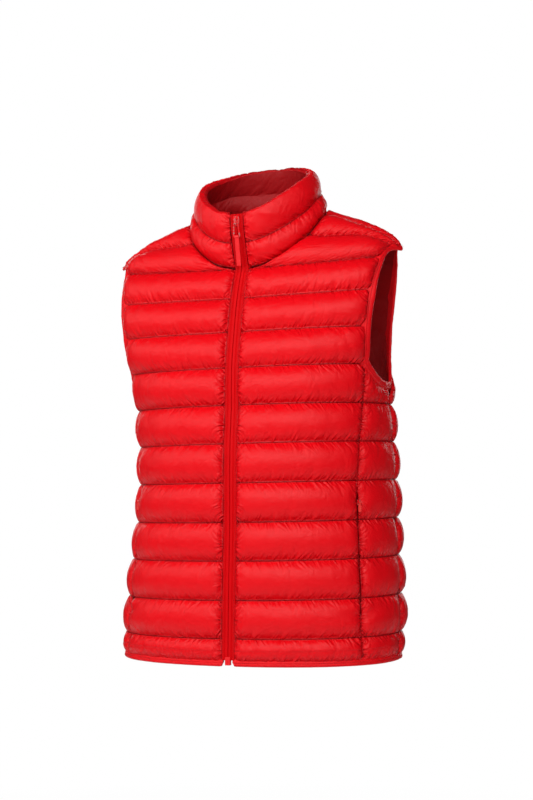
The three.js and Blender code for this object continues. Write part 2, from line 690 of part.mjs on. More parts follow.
// Plates are outlines in x and y, centred on z; profiles are outlines in y and z, centred on x.
const outline = (points) => new THREE.Shape(points.map(([x, y]) => new THREE.Vector2(x, y)));
const disc = (radius, points = 14) =>
  range(0, 360, points).slice(0, -1).map((a) => [radius * Math.cos(rad(a)), radius * Math.sin(rad(a))]);
function plate(points, holes, thick, z = 0) {
  const shape = outline(points);
  shape.holes = holes.map(outline);
  const geometry = new THREE.ExtrudeGeometry(shape, { depth: thick, bevelEnabled: false });
  return geometry.translate(0, 0, z - thick / 2);
}
const toProfile = new THREE.Matrix4().makeBasis(
  new THREE.Vector3(0, 1, 0),
  new THREE.Vector3(0, 0, 1),
  new THREE.Vector3(1, 0, 0),
);
const profile = (points, holes, width) => plate(points, holes, width).applyMatrix4(toProfile);
const rect = (x0, x1, y0, y1) => [[x0, y0], [x1, y0], [x1, y1], [x0, y1]];
const block = (x0, x1, y0, y1, z0, z1) => plate(rect(x0, x1, y0, y1), [], z1 - z0, (z0 + z1) / 2);
const join = (parts) => fromSolid(parts.map(toSolid).reduce((a, b) => a.add(b)));
const cut = (whole, tools) => fromSolid(tools.map(toSolid).reduce((a, b) => a.subtract(b), toSolid(whole)));
const moved = (geometry, frame) => geometry.clone().applyMatrix4(placed(frame));

const sliderFrame = zipFrame(ZIP_LENGTH - SLIDER.below_top);
const boxFrame = zipFrame(0);
const topY = SLIDER.length / 2;
const postBlock = (grow) =>
  block(-SLIDER.post - grow, SLIDER.post + grow, topY - 4.5 - grow, topY - 1.5 + grow, SLIDER.back - 1, SLIDER.front + 1);
const boxBlock = (grow) =>
  block(-BOX.half - grow, BOX.half + grow, BOX.above - BOX.height - grow, BOX.above + grow, BOX.back, BOX.front);

const tapeTop = { ...zipFrame(ZIP_LENGTH - 0.6), half: ZIP_HALF - COLLAR_CLEAR };
const tapeStations = [zipFrame(0.4), ...zipLine.slice(1, -1), tapeTop];
for (const [name, side] of sides) {
  const section = (half) =>
    [
      [ZIP.slit, ZIP.tape_back],
      [half - 0.35, ZIP.tape_back],
      [half - 0.35, ZIP.band],
      [ZIP.band_from + 0.3, ZIP.band],
      [ZIP.band_from, ZIP.tape],
      [ZIP.lip_to, ZIP.tape],
      [ZIP.lip_to - 0.3, ZIP.lip],
      [ZIP.slit, ZIP.lip],
    ].map(([x, n]) => [side * x, n]);
  const clear = [moved(postBlock(0.35), sliderFrame), moved(boxBlock(0.3), boxFrame)];
  add("zip_tape_" + name, cut(strip(tapeStations, section), clear), COLOUR.dark);
}
const chainStations = [
  zipFrame(BOX.above + 0.6),
  ...zipLine.slice(1, -1).filter(({ s }) => s > BOX.above + 3 && s < ZIP_LENGTH - SLIDER.below_top - 3),
  zipFrame(ZIP_LENGTH - SLIDER.below_top + topY - 5),
];
add(
  "zip_coil",
  strip(chainStations, () => [
    [-CHAIN.half, CHAIN.front],
    [-CHAIN.half + 0.5, CHAIN.back],
    [CHAIN.half - 0.5, CHAIN.back],
    [CHAIN.half, CHAIN.front],
  ]),
  COLOUR.dark,
);
add("zip_box", moved(boxBlock(0), boxFrame), COLOUR.trim, 0.4);

// Slider: a plate in front of the tapes and one behind them, joined by a post above the closed part,
// with a bridge in front that the link hangs in.
const w = SLIDER.width / 2;
const sliderOutline = [
  [-w * 0.62, -topY],
  [w * 0.62, -topY],
  [w * 0.8, -topY * 0.3],
  [w, topY * 0.45],
  [w * 0.75, topY],
  [-w * 0.75, topY],
  [-w, topY * 0.45],
  [-w * 0.8, -topY * 0.3],
];
const reach = BRIDGE.length / 2;
const bridgeProfile = [
  [-reach, SLIDER.front + 0.5],
  [reach, SLIDER.front + 0.5],
  [reach, BRIDGE.under + BRIDGE.thick * 0.5],
  [reach - 1.2, BRIDGE.under + BRIDGE.thick],
  [-reach + 1.2, BRIDGE.under + BRIDGE.thick],
  [-reach, BRIDGE.under + BRIDGE.thick * 0.5],
];
const bridgeHole = rect(-reach + 1.3, reach - 1.3, SLIDER.front + SLIDER.plate, BRIDGE.under);
add(
  "zip_slider",
  moved(
    join([
      plate(sliderOutline, [], SLIDER.plate, SLIDER.front + SLIDER.plate / 2),
      plate(sliderOutline, [], 1.2, SLIDER.back - 0.6),
      postBlock(0),
      profile(bridgeProfile, [bridgeHole], BRIDGE.width),
    ]),
    sliderFrame,
  ),
  COLOUR.metal,
  0.35,
  0.6,
);

// A piece whose own origin is its hinge.
function hinged(name, geometry, frame, colour, roughness, metalness) {
  const mesh = add(name, geometry, colour, roughness, metalness);
  placed(frame).decompose(mesh.position, mesh.quaternion, mesh.scale);
  return mesh;
}
const shifted = ({ p, x, t, n }, up, out) => ({
  p: p.clone().addScaledVector(t, up).addScaledVector(n, out),
  x,
  t,
  n,
});
const linkFrame = shifted(sliderFrame, -LINK.down, LINK.hinge);
const half = LINK.bar / 2;
const linkEnd = LINK.length - LINK.bar;
const linkOuter = [
  [-LINK.top / 2, half],
  [-LINK.top / 2 - 0.4, -half],
  [-LINK.bottom / 2, -linkEnd + 1],
  [-LINK.bottom / 2 + 1.2, -linkEnd - half],
  [LINK.bottom / 2 - 1.2, -linkEnd - half],
  [LINK.bottom / 2, -linkEnd + 1],
  [LINK.top / 2 + 0.4, -half],
  [LINK.top / 2, half],
];
const linkHole = [
  [-LINK.top / 2 + 1, -half],
  [-LINK.bottom / 2 + LINK.bar, -linkEnd + half],
  [LINK.bottom / 2 - LINK.bar, -linkEnd + half],
  [LINK.top / 2 - 1, -half],
];
hinged("zip_pull_link", plate(linkOuter, [linkHole], LINK.thick), linkFrame, COLOUR.metal, 0.3, 0.8);
// A strip that hangs from an eye: its upper part is thick, and its lower part is tip thick.
function eyed(eye, thick, upper, tip, length) {
  const meets = 180 - deg(Math.asin(thick / 2 / eye));
  return [
    ...range(meets, -meets, 12).map((a) => [eye * Math.cos(rad(a)), eye * Math.sin(rad(a))]),
    [-upper, -thick / 2],
    [-upper - 1.5, -tip / 2],
    [-length, -tip / 2],
    [-length, tip / 2],
    [-upper - 1.5, tip / 2],
    [-upper, thick / 2],
  ];
}
const tabProfile = eyed(TAB.eye, TAB.thick, TAB.strip_from, TAB.strip, TAB.length);
hinged(
  "zip_pull_tab",
  profile(tabProfile, [disc(TAB.hole)], TAB.width),
  shifted(linkFrame, -linkEnd, 0),
  COLOUR.rubber,
  0.5,
);

// Pocket zips: a tape behind the seam's opening, and a slider on a post through it with a small pull.
for (const [name, side] of sides) {
  const seam = panels[name].front.map((row, i) => ({ line: FRONT_ROWS[i], z: row.at(-1).p.z }));
  const seamFrame = (z) => {
    const i = seam.findIndex((row) => row.z > z);
    const line = lerp(seam[i - 1].line, seam[i].line, (z - seam[i - 1].z) / (seam[i].z - seam[i - 1].z));
    const at = (a, b) => frontPoint(side, a, b);
    const n = normalOf(at, 1, line, [0, 1], [0, LAST_LINE], side);
    const t = at(1, line + 0.05).sub(at(1, line - 0.05)).normalize();
    return { p: at(1, line), n, t, x: t.clone().cross(n).normalize() };
  };
  const tape = range(POCKET.bottom - 3, POCKET.top + 3, 12).map(seamFrame);
  add(
    "pocket_zip_" + name,
    strip(tape, () => [
      [-POCKET.half, POCKET.front],
      [-POCKET.half, POCKET.back],
      [POCKET.half, POCKET.back],
      [POCKET.half, POCKET.front],
    ]),
    COLOUR.dark,
  );
  const frame = seamFrame(POCKET_SLIDER.z);
  const { length, width, plate: thick, proud, post } = POCKET_SLIDER;
  const { pin, lug, between, proud: hingeOut } = POCKET_HINGE;
  const inner = between / 2;
  const lugBlock = (s) =>
    block(Math.min(s * inner, s * (inner + lug)), Math.max(s * inner, s * (inner + lug)), -1, 1, proud + 0.5, hingeOut + 0.9);
  add(
    "pocket_slider_" + name,
    moved(
      join([
        block(-width / 2, width / 2, -length / 2, length / 2, proud, proud + thick),
        block(-post, post, -length / 2 + 1, length / 2 - 1, POCKET.front + SEAM_GAP, proud + 0.5),
        lugBlock(-1),
        lugBlock(1),
        profile(disc(pin, 10), [], between + 1).translate(0, 0, hingeOut),
      ]),
      frame,
    ),
    COLOUR.metal,
    0.35,
    0.6,
  );
  const { eye, hole, thick: pull, width: pullWidth, length: pullLength } = POCKET_PULL;
  const neck = profile(eyed(eye, pull, 3, pull, 4.5), [disc(hole, 10)], between - 0.7);
  hinged(
    "pocket_pull_" + name,
    join([neck, block(-pullWidth / 2, pullWidth / 2, -pullLength, -4, -pull / 2, pull / 2)]),
    shifted(frame, 0, hingeOut),
    COLOUR.rubber,
    0.4,
  );
}

export default group;
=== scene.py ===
"""A quilted puffer vest, hollow as it is when worn, built over the solids of its frame.

The tables and curves below are the vest's own sizes in millimetres: +Z up, -Y the front, +X the
wearer's left, with the origin between the shoulders. Each operator makes a piece or a group of like
pieces, puts it in place of the plain solids and dresses it in its material.
"""

import json
import math

import bmesh
import bpy
import numpy as np
from bpy.props import FloatProperty, FloatVectorProperty, IntProperty, PointerProperty
from mathutils import Matrix, Vector

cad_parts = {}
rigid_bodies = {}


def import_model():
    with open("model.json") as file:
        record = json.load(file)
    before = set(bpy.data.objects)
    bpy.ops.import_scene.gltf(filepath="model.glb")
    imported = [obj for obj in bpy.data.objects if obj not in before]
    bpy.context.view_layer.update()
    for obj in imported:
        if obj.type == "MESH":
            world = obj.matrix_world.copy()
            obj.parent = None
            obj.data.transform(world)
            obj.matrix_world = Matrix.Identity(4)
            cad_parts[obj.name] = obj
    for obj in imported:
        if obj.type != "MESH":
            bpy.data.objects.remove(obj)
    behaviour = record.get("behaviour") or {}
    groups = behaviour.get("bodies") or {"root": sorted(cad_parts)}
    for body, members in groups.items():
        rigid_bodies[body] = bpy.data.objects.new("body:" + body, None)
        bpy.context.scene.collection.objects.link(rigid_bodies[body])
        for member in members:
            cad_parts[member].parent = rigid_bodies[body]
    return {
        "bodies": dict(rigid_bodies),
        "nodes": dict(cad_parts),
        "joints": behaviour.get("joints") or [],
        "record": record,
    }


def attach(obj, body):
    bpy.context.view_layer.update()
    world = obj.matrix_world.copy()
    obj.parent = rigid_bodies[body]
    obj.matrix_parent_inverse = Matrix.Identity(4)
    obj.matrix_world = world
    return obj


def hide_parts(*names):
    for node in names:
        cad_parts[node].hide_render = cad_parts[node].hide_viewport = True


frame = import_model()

bl_info = {
    "name": "Quilted Puffer Vest",
    "version": (1, 0, 0),
    "blender": (4, 5, 0),
    "location": "3D View > Sidebar > Puffer Vest",
    "description": "Builds a hollow quilted puffer vest with its linings, bindings and zips",
    "category": "Add Mesh",
}

MM = 0.001
BODY = "vest"

# Panels
HEM_Z = -603  # where the panels end and the hem binding starts
CHEST_Z = -264  # above this level the sections start to close towards the shoulders
WALL = 2.6
ZIP_HALF = 9
NECK_X = 95
TIP_X = 205
SEAM_BEARING = 82

# Body sections at stitched lines: z, half width, centre, front depth, back depth and roundness
FORM = [
    (-640, 196, 6, 130, 112, 2.2),
    (-611, 196, 6, 130, 112, 2.2),
    (-560, 196, 8, 134, 110, 2.2),
    (-500, 192, 12, 142, 102, 2.2),
    (-440, 186, 17, 150, 92, 2.2),
    (-380, 182, 21, 158, 84, 2.2),
    (-320, 180, 20, 156, 84, 2.2),
    (-264, 179, 14, 143, 92, 2.3),
    (-214, 182, 8, 136, 102, 2.5),
    (-165, 192, 5, 130, 107, 2.9),
    (-119, 203, 3, 128, 109, 3.0),
    (-77, 213, 2, 126, 110, 2.9),
    (-40, 224, 0, 125, 108, 2.7),
    (20, 230, 0, 125, 105, 2.6),
]
BACK_POWER = 2.5

# Height of the surface over the shoulder: x, in front and behind the neck hole
RIDGE = [
    (0, 14, 60),
    (60, 10, 42),
    (85, 6, 14),
    (95, 3, 3),
    (135, -12, -12),
    (168, -27, -27),
    (190, -41, -41),
    (203, -50, -50),
    (225, -68, -68),
]
RIDGE_Y = 2
ARCH = [(0, 1.8, 2.1), (120, 1.8, 2.1), (190, 2.15, 2.35), (225, 2.2, 2.4)]  # roundness over it

# How the wearer stands: z, sideways shift, twist in degrees and sideways tilt
STANCE = [
    (-640, -5, 0, 0.005),
    (-560, -3, 0, 0.018),
    (-460, 0, 0.3, 0.022),
    (-380, 2, 0.5, 0.022),
    (-264, -1, 1.5, 0.025),
    (-190, -5, 2.8, 0.03),
    (-100, -5, 3, 0.032),
    (-40, -2, 3, 0.032),
    (100, 0, 3, 0.032),
]

# Stitch lines from the hem up: line, height in front and behind, and rise towards the armhole
LINES = [
    (0, HEM_Z, HEM_Z, 0),
    (1, -573, -573, 0),
    (2, -522, -522, 0),
    (3, -470, -470, 0),
    (4, -419, -419, 0),
    (5, -367, -367, 0),
    (6, -315, -315, 0),
    (7, CHEST_Z, CHEST_Z, 0),
    (8, -214, -213, 1),
    (9, -165.5, -162, 2),
    (10, -119, -112, 5),
    (11, -77, -63, 8),
]
TOP_LINE = 11  # the last line that runs level
LAST_LINE = 13  # the shoulder seam
RISE_X = 180
UPPER_BEARING = (60.6, 73, 84, 190)  # of line 12 in front: at the neck and the tip, from x to x

# Half widths of the panels: z and x of the side panel's front seam, z and share of the armhole
FRONT_EDGE = [
    (-640, 169),
    (-603, 169),
    (-564, 166),
    (-516, 164),
    (-465, 160),
    (-408, 156),
    (-361, 155),
    (-309, 157),
    (-264, 161),
    (-212, 166),
    (-187, 169),
    (-149, 172),
    (-102, 178),
    (-69, 184),
]
BACK_EDGE = [
    (-640, 1),
    (-262, 1),
    (-243, 0.996),
    (-213, 0.957),
    (-162, 0.893),
    (-112, 0.862),
    (-63, 0.848),
]
SIDE_LINE = 7
ARMHOLE_FRONT_Z = -212
ARMHOLE_DIP = 31
ARMHOLE_BACK_LINE = 7.41  # where the back panel's armhole starts
BACK_NECK_BEARING = 60.6

# Collar: bearing from the middle of the front, and height of its top edge
COLLAR_TOP = [(0, -5), (20, 0), (45, 18), (70, 38), (95, 54), (120, 66), (150, 77), (180, 80)]
COLLAR_HALF, COLLAR_FRONT, COLLAR_BACK, COLLAR_CENTRE, COLLAR_TURN = 76, -104, 44, -29, -4
COLLAR_MIDDLE = 0.45  # share of its height below its stitch line

# Zip, in heights out of the stitched surface
SLIDER_BELOW_TOP = 11
BOX_ABOVE = 5.6
POCKET_TOP, POCKET_BOTTOM, POCKET_SLIT = -378, -543, 1.1
CHAIN_FRONT, CHAIN_BACK = -2.6, -3.9


def lerp(a, b, t):
    return a + (b - a) * t


def smooth(t):
    return t * t * (3 - 2 * t)


class Curve:
    """A smooth curve through one column of a table, whose first column is the position."""

    def __init__(self, table, k=1):
        self.x = np.array([row[0] for row in table], float)
        self.y = np.array([row[k] for row in table], float)
        low = np.maximum(np.arange(len(table)) - 1, 0)
        high = np.minimum(np.arange(len(table)) + 1, len(table) - 1)
        self.slope = (self.y[high] - self.y[low]) / (self.x[high] - self.x[low])

    def __call__(self, at):
        x = np.clip(at, self.x[0], self.x[-1])
        i = np.clip(np.searchsorted(self.x, x, side="right") - 1, 0, len(self.x) - 2)
        h = self.x[i + 1] - self.x[i]
        t = (x - self.x[i]) / h
        return (
            (2 * t**3 - 3 * t**2 + 1) * self.y[i]
            + (t**3 - 2 * t**2 + t) * h * self.slope[i]
            + (3 * t**2 - 2 * t**3) * self.y[i + 1]
            + (t**3 - t**2) * h * self.slope[i + 1]
        )


half_width, centre_y, depth_front, depth_back, front_power = (Curve(FORM, k) for k in range(1, 6))
stance_shift, stance_twist, stance_tilt = (Curve(STANCE, k) for k in range(1, 4))
line_front, line_back, line_rise = (Curve(LINES, k) for k in range(1, 4))
ridge_front, ridge_back = Curve(RIDGE, 1), Curve(RIDGE, 2)
arch_front, arch_back = Curve(ARCH, 1), Curve(ARCH, 2)
front_edge, back_edge_share, collar_top_z = Curve(FRONT_EDGE), Curve(BACK_EDGE), Curve(COLLAR_TOP)


def pose(x, y, z):
    """Points of the upright form, as the wearer's stance bends it."""
    twist = np.radians(stance_twist(z))
    return np.stack(
        [
            x * np.cos(twist) - y * np.sin(twist) + stance_shift(z),
            x * np.sin(twist) + y * np.cos(twist),
            z + x * stance_tilt(z),
        ],
        axis=-1,
    )


def face_y(face, x, z, left):
    """y of the front (face -1) or back (face 1), where left is the share of depth still there."""
    power = np.where(face < 0, front_power(z), BACK_POWER)
    depth = np.where(face < 0, depth_front(z), depth_back(z))
    across = np.maximum(0, 1 - np.abs(x / half_width(z)) ** power) ** (1 / power)
    middle = lerp(centre_y(z), RIDGE_Y, np.clip((z - CHEST_Z) / -CHEST_Z, 0, 1))
    return middle + face * depth * across * left


def over_shoulder(face, x):
    """Height and roundness of the curve over the shoulder."""
    x = np.abs(x)
    return (
        np.where(face < 0, ridge_front(x), ridge_back(x)),
        np.where(face < 0, arch_front(x), arch_back(x)),
    )


def level_point(face, x, z):
    top, power = over_shoulder(face, x)
    up = np.clip((z - CHEST_Z) / (top - CHEST_Z), 0, 1)
    return pose(x, face_y(face, x, z, (1 - up**power) ** (1 / power)), z)


def shoulder_point(face, x, bearing):
    """A point over the shoulder: bearing 0 is level with the chest, 90 on the ridge."""
    face = np.where(bearing > 90, -face, face)
    turn = np.radians(np.where(bearing > 90, 180 - bearing, bearing))
    top, power = over_shoulder(face, x)
    z = lerp(CHEST_Z, top, np.sin(turn) ** (2 / power))
    return pose(x, face_y(face, x, z, np.maximum(0, np.cos(turn)) ** (2 / power)), z)


def bearing_at(face, x, z):
    top, power = over_shoulder(face, x)
    up = np.clip((z - CHEST_Z) / (top - CHEST_Z), 0, 1)
    return np.degrees(np.arcsin(np.minimum(1, up ** (power / 2))))


def angle_of(x, z, power):
    return np.arcsin(np.minimum(1, (x / half_width(z)) ** (power / 2)))


def x_of(angle, z, power):
    sine = np.sin(angle)
    return half_width(z) * np.sign(sine) * np.abs(sine) ** (2 / power)


def front_x(across, line):
    z = line_front(line)
    power = front_power(z)
    start = angle_of(ZIP_HALF, z, power)
    end = angle_of(front_edge(z + line_rise(line)), z, power)
    return x_of(lerp(start, end, across), z, power)


def front_z(line, x):
    return line_front(line) + line_rise(line) * (x / RISE_X) ** 2


def front_points(side, across, line):
    """Front panel: across from the zip to the side, line from the hem to the shoulder seam."""
    across, line = np.broadcast_arrays(across, line)
    x = front_x(across, np.minimum(line, TOP_LINE))
    level = level_point(-1, side * x, front_z(np.minimum(line, TOP_LINE), x))
    rise = np.clip((line - TOP_LINE) / (LAST_LINE - TOP_LINE), 0, 1)
    first, last = front_x(0, TOP_LINE), front_x(1, TOP_LINE)
    share = (front_x(across, TOP_LINE) - first) / (last - first)
    inner = first + (NECK_X - first) * np.sqrt(1 - (1 - rise) ** 2)
    x = lerp(inner, lerp(last, TIP_X, smooth(rise) * 0.5 + rise * 0.5), share)
    low = bearing_at(-1, x, front_z(TOP_LINE, x))
    neck, tip, from_x, to_x = UPPER_BEARING
    middle = lerp(neck, tip, smooth(np.clip((x - from_x) / (to_x - from_x), 0, 1)))
    bearing = np.where(
        rise < 0.5, lerp(low, middle, rise * 2), lerp(middle, SEAM_BEARING, rise * 2 - 1)
    )
    upper = shoulder_point(-1, side * x, bearing)
    return np.where((line > TOP_LINE)[..., None], upper, level)


def side_points(side, across, line):
    """Side panel: across from its front seam to its back seam, line from the hem to the armhole."""
    across, line = np.broadcast_arrays(across, line)
    top = ARMHOLE_FRONT_Z - ARMHOLE_DIP * (1 - (1 - across) ** 2.2)
    z = np.where(line <= SIDE_LINE, line_front(line), lerp(CHEST_Z, top, line - SIDE_LINE))
    power = front_power(z)
    x = x_of(lerp(angle_of(front_edge(z), z, power), np.pi / 2, across), z, power)
    return level_point(-1, side * x, z)


def back_x(across, line):
    z = line_back(line)
    edge = half_width(z) * np.minimum(1, back_edge_share(z))
    return x_of(across * angle_of(edge, z, BACK_POWER), z, BACK_POWER)


def neck_across():
    z = line_back(TOP_LINE)
    edge = half_width(z) * back_edge_share(z)
    return float(angle_of(edge * NECK_X / TIP_X, z, BACK_POWER) / angle_of(edge, z, BACK_POWER))


def back_points(across, line):
    """Back panel: across from the right armhole (-1) to the left one (1)."""
    across, line = np.broadcast_arrays(across, line)
    level_line = np.minimum(line, TOP_LINE)
    level = level_point(1, back_x(across, level_line), line_back(level_line))
    rise = np.clip((line - TOP_LINE) / (LAST_LINE - TOP_LINE), 0, 1)
    last = back_x(1, TOP_LINE)
    x = back_x(across, TOP_LINE) / last * lerp(last, TIP_X, rise**1.5)
    near = np.minimum(1, np.abs(x) / NECK_X)
    top = lerp(BACK_NECK_BEARING, 180 - SEAM_BEARING, 1 - np.sqrt(1 - near * near))
    low = bearing_at(1, x, line_back(TOP_LINE))
    upper = shoulder_point(1, x, lerp(low, top, rise))
    return np.where((line > TOP_LINE)[..., None], upper, level)


def unit(v):
    return v / np.maximum(np.linalg.norm(v, axis=-1, keepdims=True), 1e-9)


def noise(u, v, seed):
    """Smooth noise from -1 to 1, which changes over about one whole number of u and v."""
    table = np.random.default_rng(seed).uniform(-1, 1, (256, 256))
    u, v = np.broadcast_arrays(u, v)
    i, j = np.floor(u).astype(int), np.floor(v).astype(int)
    a, b = smooth(u - i), smooth(v - j)
    i, j = i % 256, j % 256
    k, m = (i + 1) % 256, (j + 1) % 256
    return lerp(lerp(table[i, j], table[k, j], a), lerp(table[i, m], table[k, m], a), b)


def creases(u, v, seed, width=0.35):
    """Narrow soft lines, 1 at their middle and 0 away from them."""
    return smooth(np.clip(1 - np.abs(noise(u, v, seed)) / width, 0, 1))


def lengths(points, axis):
    """Distance travelled over a grid along one axis, from its first row or column."""
    step = np.linalg.norm(np.diff(points, axis=axis), axis=-1)
    pad = [(1, 0) if k == axis else (0, 0) for k in range(2)]
    return np.pad(np.cumsum(step, axis=axis), pad)


def grid_normals(points, outward):
    across, up = np.gradient(points, axis=1), np.gradient(points, axis=0)
    return unit(np.cross(across, up)) * outward


class Cloth:
    """A grid of points over the stitched surface, with its normals and distances in millimetres."""

    def __init__(self, points, line, outward):
        self.points = points
        self.line = line
        self.normals = grid_normals(points, outward)
        self.outward = outward
        self.fold = 0 * points[..., 0]  # depth of the folds that are pressed in last
        self.first = lengths(points, 1)  # from the first column
        self.last = self.first[:, -1:] - self.first  # to the last column
        self.up = lengths(points, 0)
        whole = np.round(line).astype(int)
        stitched = {int(k): i for i, k in enumerate(whole) if abs(line[i] - k) < 1e-9}
        top = max(stitched)
        below = np.minimum(np.floor(line + 1e-9).astype(int), top - 1)
        self.number = below[:, None]
        low = self.up[[stitched[k] for k in below]]
        high = self.up[[stitched[k + 1] for k in below]]
        self.share = (line - below)[:, None] + 0 * self.up
        self.below, self.above = self.up - low, high - self.up  # to the stitch lines
        self.baffle = high - low
        self.pull = 1.0  # which way the gathers lean: 1 away from the first column

    def raised(self, height):
        return self.points + self.normals * height[..., None]


def quilt_rows(last, steps):
    """Rows of a quilted panel, closer together at the stitch lines."""
    t = np.arange(steps) / steps
    share = t - 0.6 * np.sin(2 * np.pi * t) / (2 * np.pi)
    return np.append((np.arange(last)[:, None] + share).ravel(), last)


def crest(share):
    """Height of a baffle over its stitch lines, from 0 at a line to 1 at its fullest."""
    return np.maximum(0, np.sin(np.pi * np.clip(share, 0, 1) ** 0.92)) ** 0.68


def puckers(cloth, sizes, seed):
    """Depth of the gathers that the stitch lines pull into the cloth, above and below them."""
    depth = 0
    u = cloth.first
    for near, number, way in (
        (cloth.below, cloth.number, 1),
        (cloth.above, cloth.number + 1, -1),
    ):
        lean = 0.55 * noise(u / 34, number * 7.3, seed + 1)
        run = u + near * (way * lean - 0.6 * cloth.pull)
        run = run + 1.5 * noise(u / 9, near / 12 + number * 3.1, seed + 2)
        fine = creases(run / sizes.pucker_pitch, near / 26 + number * 5.7, seed + 3, 0.42)
        reach = 8.5 + 5.5 * noise(u / 12, number * 4.9, seed + 4)
        coarse = creases(run / (sizes.pucker_pitch * 2.3), near / 40 + number * 8.3, seed + 5, 0.3)
        calm = 1 if way < 0 else 0.6 + 0.5 * smooth(np.clip((cloth.points[..., 2] + 330) / 80, 0, 1))
        depth = depth + calm * (1 - np.exp(-near / 1.1)) * (
            fine * np.exp(-near / reach) + 0.8 * coarse * np.exp(-near / (reach * 1.7))
        )
    return depth


def fanned(cloth, edge):
    """Distance up a seam, from which gathers fan out into each baffle from its corners."""
    return cloth.up + np.minimum(edge, 22) * (0.5 - cloth.share) * 2.2


def seam_puckers(cloth, edge, sizes, seed, reach=10):
    """Depth of the gathers that run out of a seam along one edge of a panel."""
    run = fanned(cloth, edge) + 0.25 * edge * noise(cloth.up / 40, 0, seed)
    run = run + noise(cloth.up / 7, edge / 9, seed + 1)
    length = reach * (1 + 0.5 * noise(cloth.up / 11, 3.3, seed + 2))
    return creases(run / sizes.pucker_pitch, edge / 30, seed + 3) * np.exp(-edge / length) * (
        1 - np.exp(-edge / 0.9)
    )


def puffed(cloth, puff, sizes, seed, first_seam=True, last_seam=True):
    """Heights of a quilted panel over its stitched surface, in millimetres."""
    full = puff * np.minimum(1, cloth.baffle / 50) ** 0.6
    near = np.minimum(cloth.below, cloth.above)
    height = full * crest(cloth.share)
    height = height * (1 + 0.08 * noise(cloth.first / 23, cloth.number * 2.7, seed + 11))
    height = height + 0.7 * noise(cloth.first / 70, cloth.up / 45, seed + 12) * (1 - np.exp(-near / 9))
    wrinkle = creases(
        (cloth.first + 0.45 * cloth.up) / 25, (cloth.up - 0.3 * cloth.first) / 34, seed + 13, 0.22
    )
    height = height - 0.6 * wrinkle * (1 - np.exp(-near / 10))
    for edge, seam in ((cloth.first, first_seam), (cloth.last, last_seam)):
        height = height * (1 - 0.85 * np.exp(-edge / (4.5 if seam else 4)))
    height = height - sizes.pucker_depth * puckers(cloth, sizes, seed)
    for k, edge in enumerate((cloth.first, cloth.last)):
        height = height - 1.05 * sizes.pucker_depth * seam_puckers(cloth, edge, sizes, seed + 21 + 5 * k)
        height = height - 0.8 * np.exp(-edge / 0.9)
    return height - 1.3 * np.exp(-near / 0.9)


def grid_faces(rows, cols, outward=1, loop=False):
    """Quads over a grid of points, with their normals outward."""
    count = cols if loop else cols - 1
    i, j = np.meshgrid(np.arange(rows - 1), np.arange(count), indexing="ij")
    k = (j + 1) % cols
    quads = np.stack([i * cols + j, i * cols + k, (i + 1) * cols + k, (i + 1) * cols + j], -1)
    quads = quads.reshape(-1, 4)
    return quads if outward > 0 else quads[:, ::-1]


def new_object(name, points, faces, uv=None, smooth_shading=True):
    """An object from points and faces in millimetres, with UVs in metres where they are given."""
    mesh = bpy.data.meshes.new(name)
    mesh.from_pydata((np.asarray(points).reshape(-1, 3) * MM).tolist(), [], np.asarray(faces).tolist())
    mesh.polygons.foreach_set("use_smooth", [smooth_shading] * len(mesh.polygons))
    if uv is not None:
        corners = np.empty(len(mesh.loops), int)
        mesh.loops.foreach_get("vertex_index", corners)
        layer = mesh.uv_layers.new(name="UVMap")
        layer.uv.foreach_set("vector", (np.asarray(uv).reshape(-1, 2)[corners] * MM).ravel())
    mesh.update()
    obj = bpy.data.objects.new(name, mesh)
    bpy.context.collection.objects.link(obj)
    return obj


def sheet_object(name, points, cloth):
    uv = np.stack([cloth.first, cloth.up], -1)
    faces = grid_faces(*points.shape[:2], cloth.outward)
    obj = new_object(name, points, faces, uv)
    near_line(obj, cloth)
    return obj


def near_line(obj, cloth, extra=0):
    """Keeps where each point lies along and beside its nearest stitch line and its panel's edges, which place the
    gathers and the painted crease shade of its material.
    """
    low = cloth.below < cloth.above
    near = np.minimum(cloth.below, cloth.above)
    number = cloth.number + np.where(low, 0, 1)
    edge = np.minimum(cloth.first, cloth.last)
    for name, values in (
        ("beside_line", [cloth.first - 0.6 * cloth.pull * near, near, number * 17.0 + np.where(low, 0.0, 5.0)]),
        ("beside_seam", [fanned(cloth, edge), edge, np.where(cloth.first < cloth.last, 0.0, 40.0)]),
    ):
        data = np.stack(np.broadcast_arrays(*values), -1).reshape(-1, 3)
        data = np.concatenate([data, np.full((extra, 3), 99.0)])
        layer = obj.data.attributes.new(name, "FLOAT_VECTOR", "POINT")
        layer.data.foreach_set("vector", data.ravel())


def dress(obj, material, node=None, body=BODY):
    """Gives a piece its material, and puts it in place of its solid."""
    obj.data.materials.clear()
    obj.data.materials.append(material)
    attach(obj, body)
    if node:
        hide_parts(node)
    return obj


SIDES = (("left", 1), ("right", -1))


def pocket_opening(z):
    return POCKET_SLIT * smooth(np.clip(np.minimum(POCKET_TOP - z, z - POCKET_BOTTOM) / 8, 0, 1))


def front_cloth(side, columns, steps):
    rows = quilt_rows(LAST_LINE, steps)
    across = np.linspace(0, 1, columns)[None, :]
    return Cloth(front_points(side, across, rows[:, None]), rows, side)


def side_cloth(side, columns, steps):
    rows = quilt_rows(SIDE_LINE + 1, steps)
    across = np.linspace(0, 1, columns)[None, :]
    return Cloth(side_points(side, across, rows[:, None]), rows, side)


def back_cloth(columns, steps):
    rows = quilt_rows(LAST_LINE, steps)
    neck = neck_across()
    inner = np.linspace(-neck, neck, int(columns * neck) | 1)
    outer = np.linspace(neck, 1, (columns - len(inner)) // 2 + 1)[1:]
    across = np.concatenate([-outer[::-1], inner, outer])
    cloth = Cloth(back_points(across[None, :], rows[:, None]), rows, -1)
    cloth.pull = np.tanh((cloth.first - cloth.last) / 80)
    return cloth, across


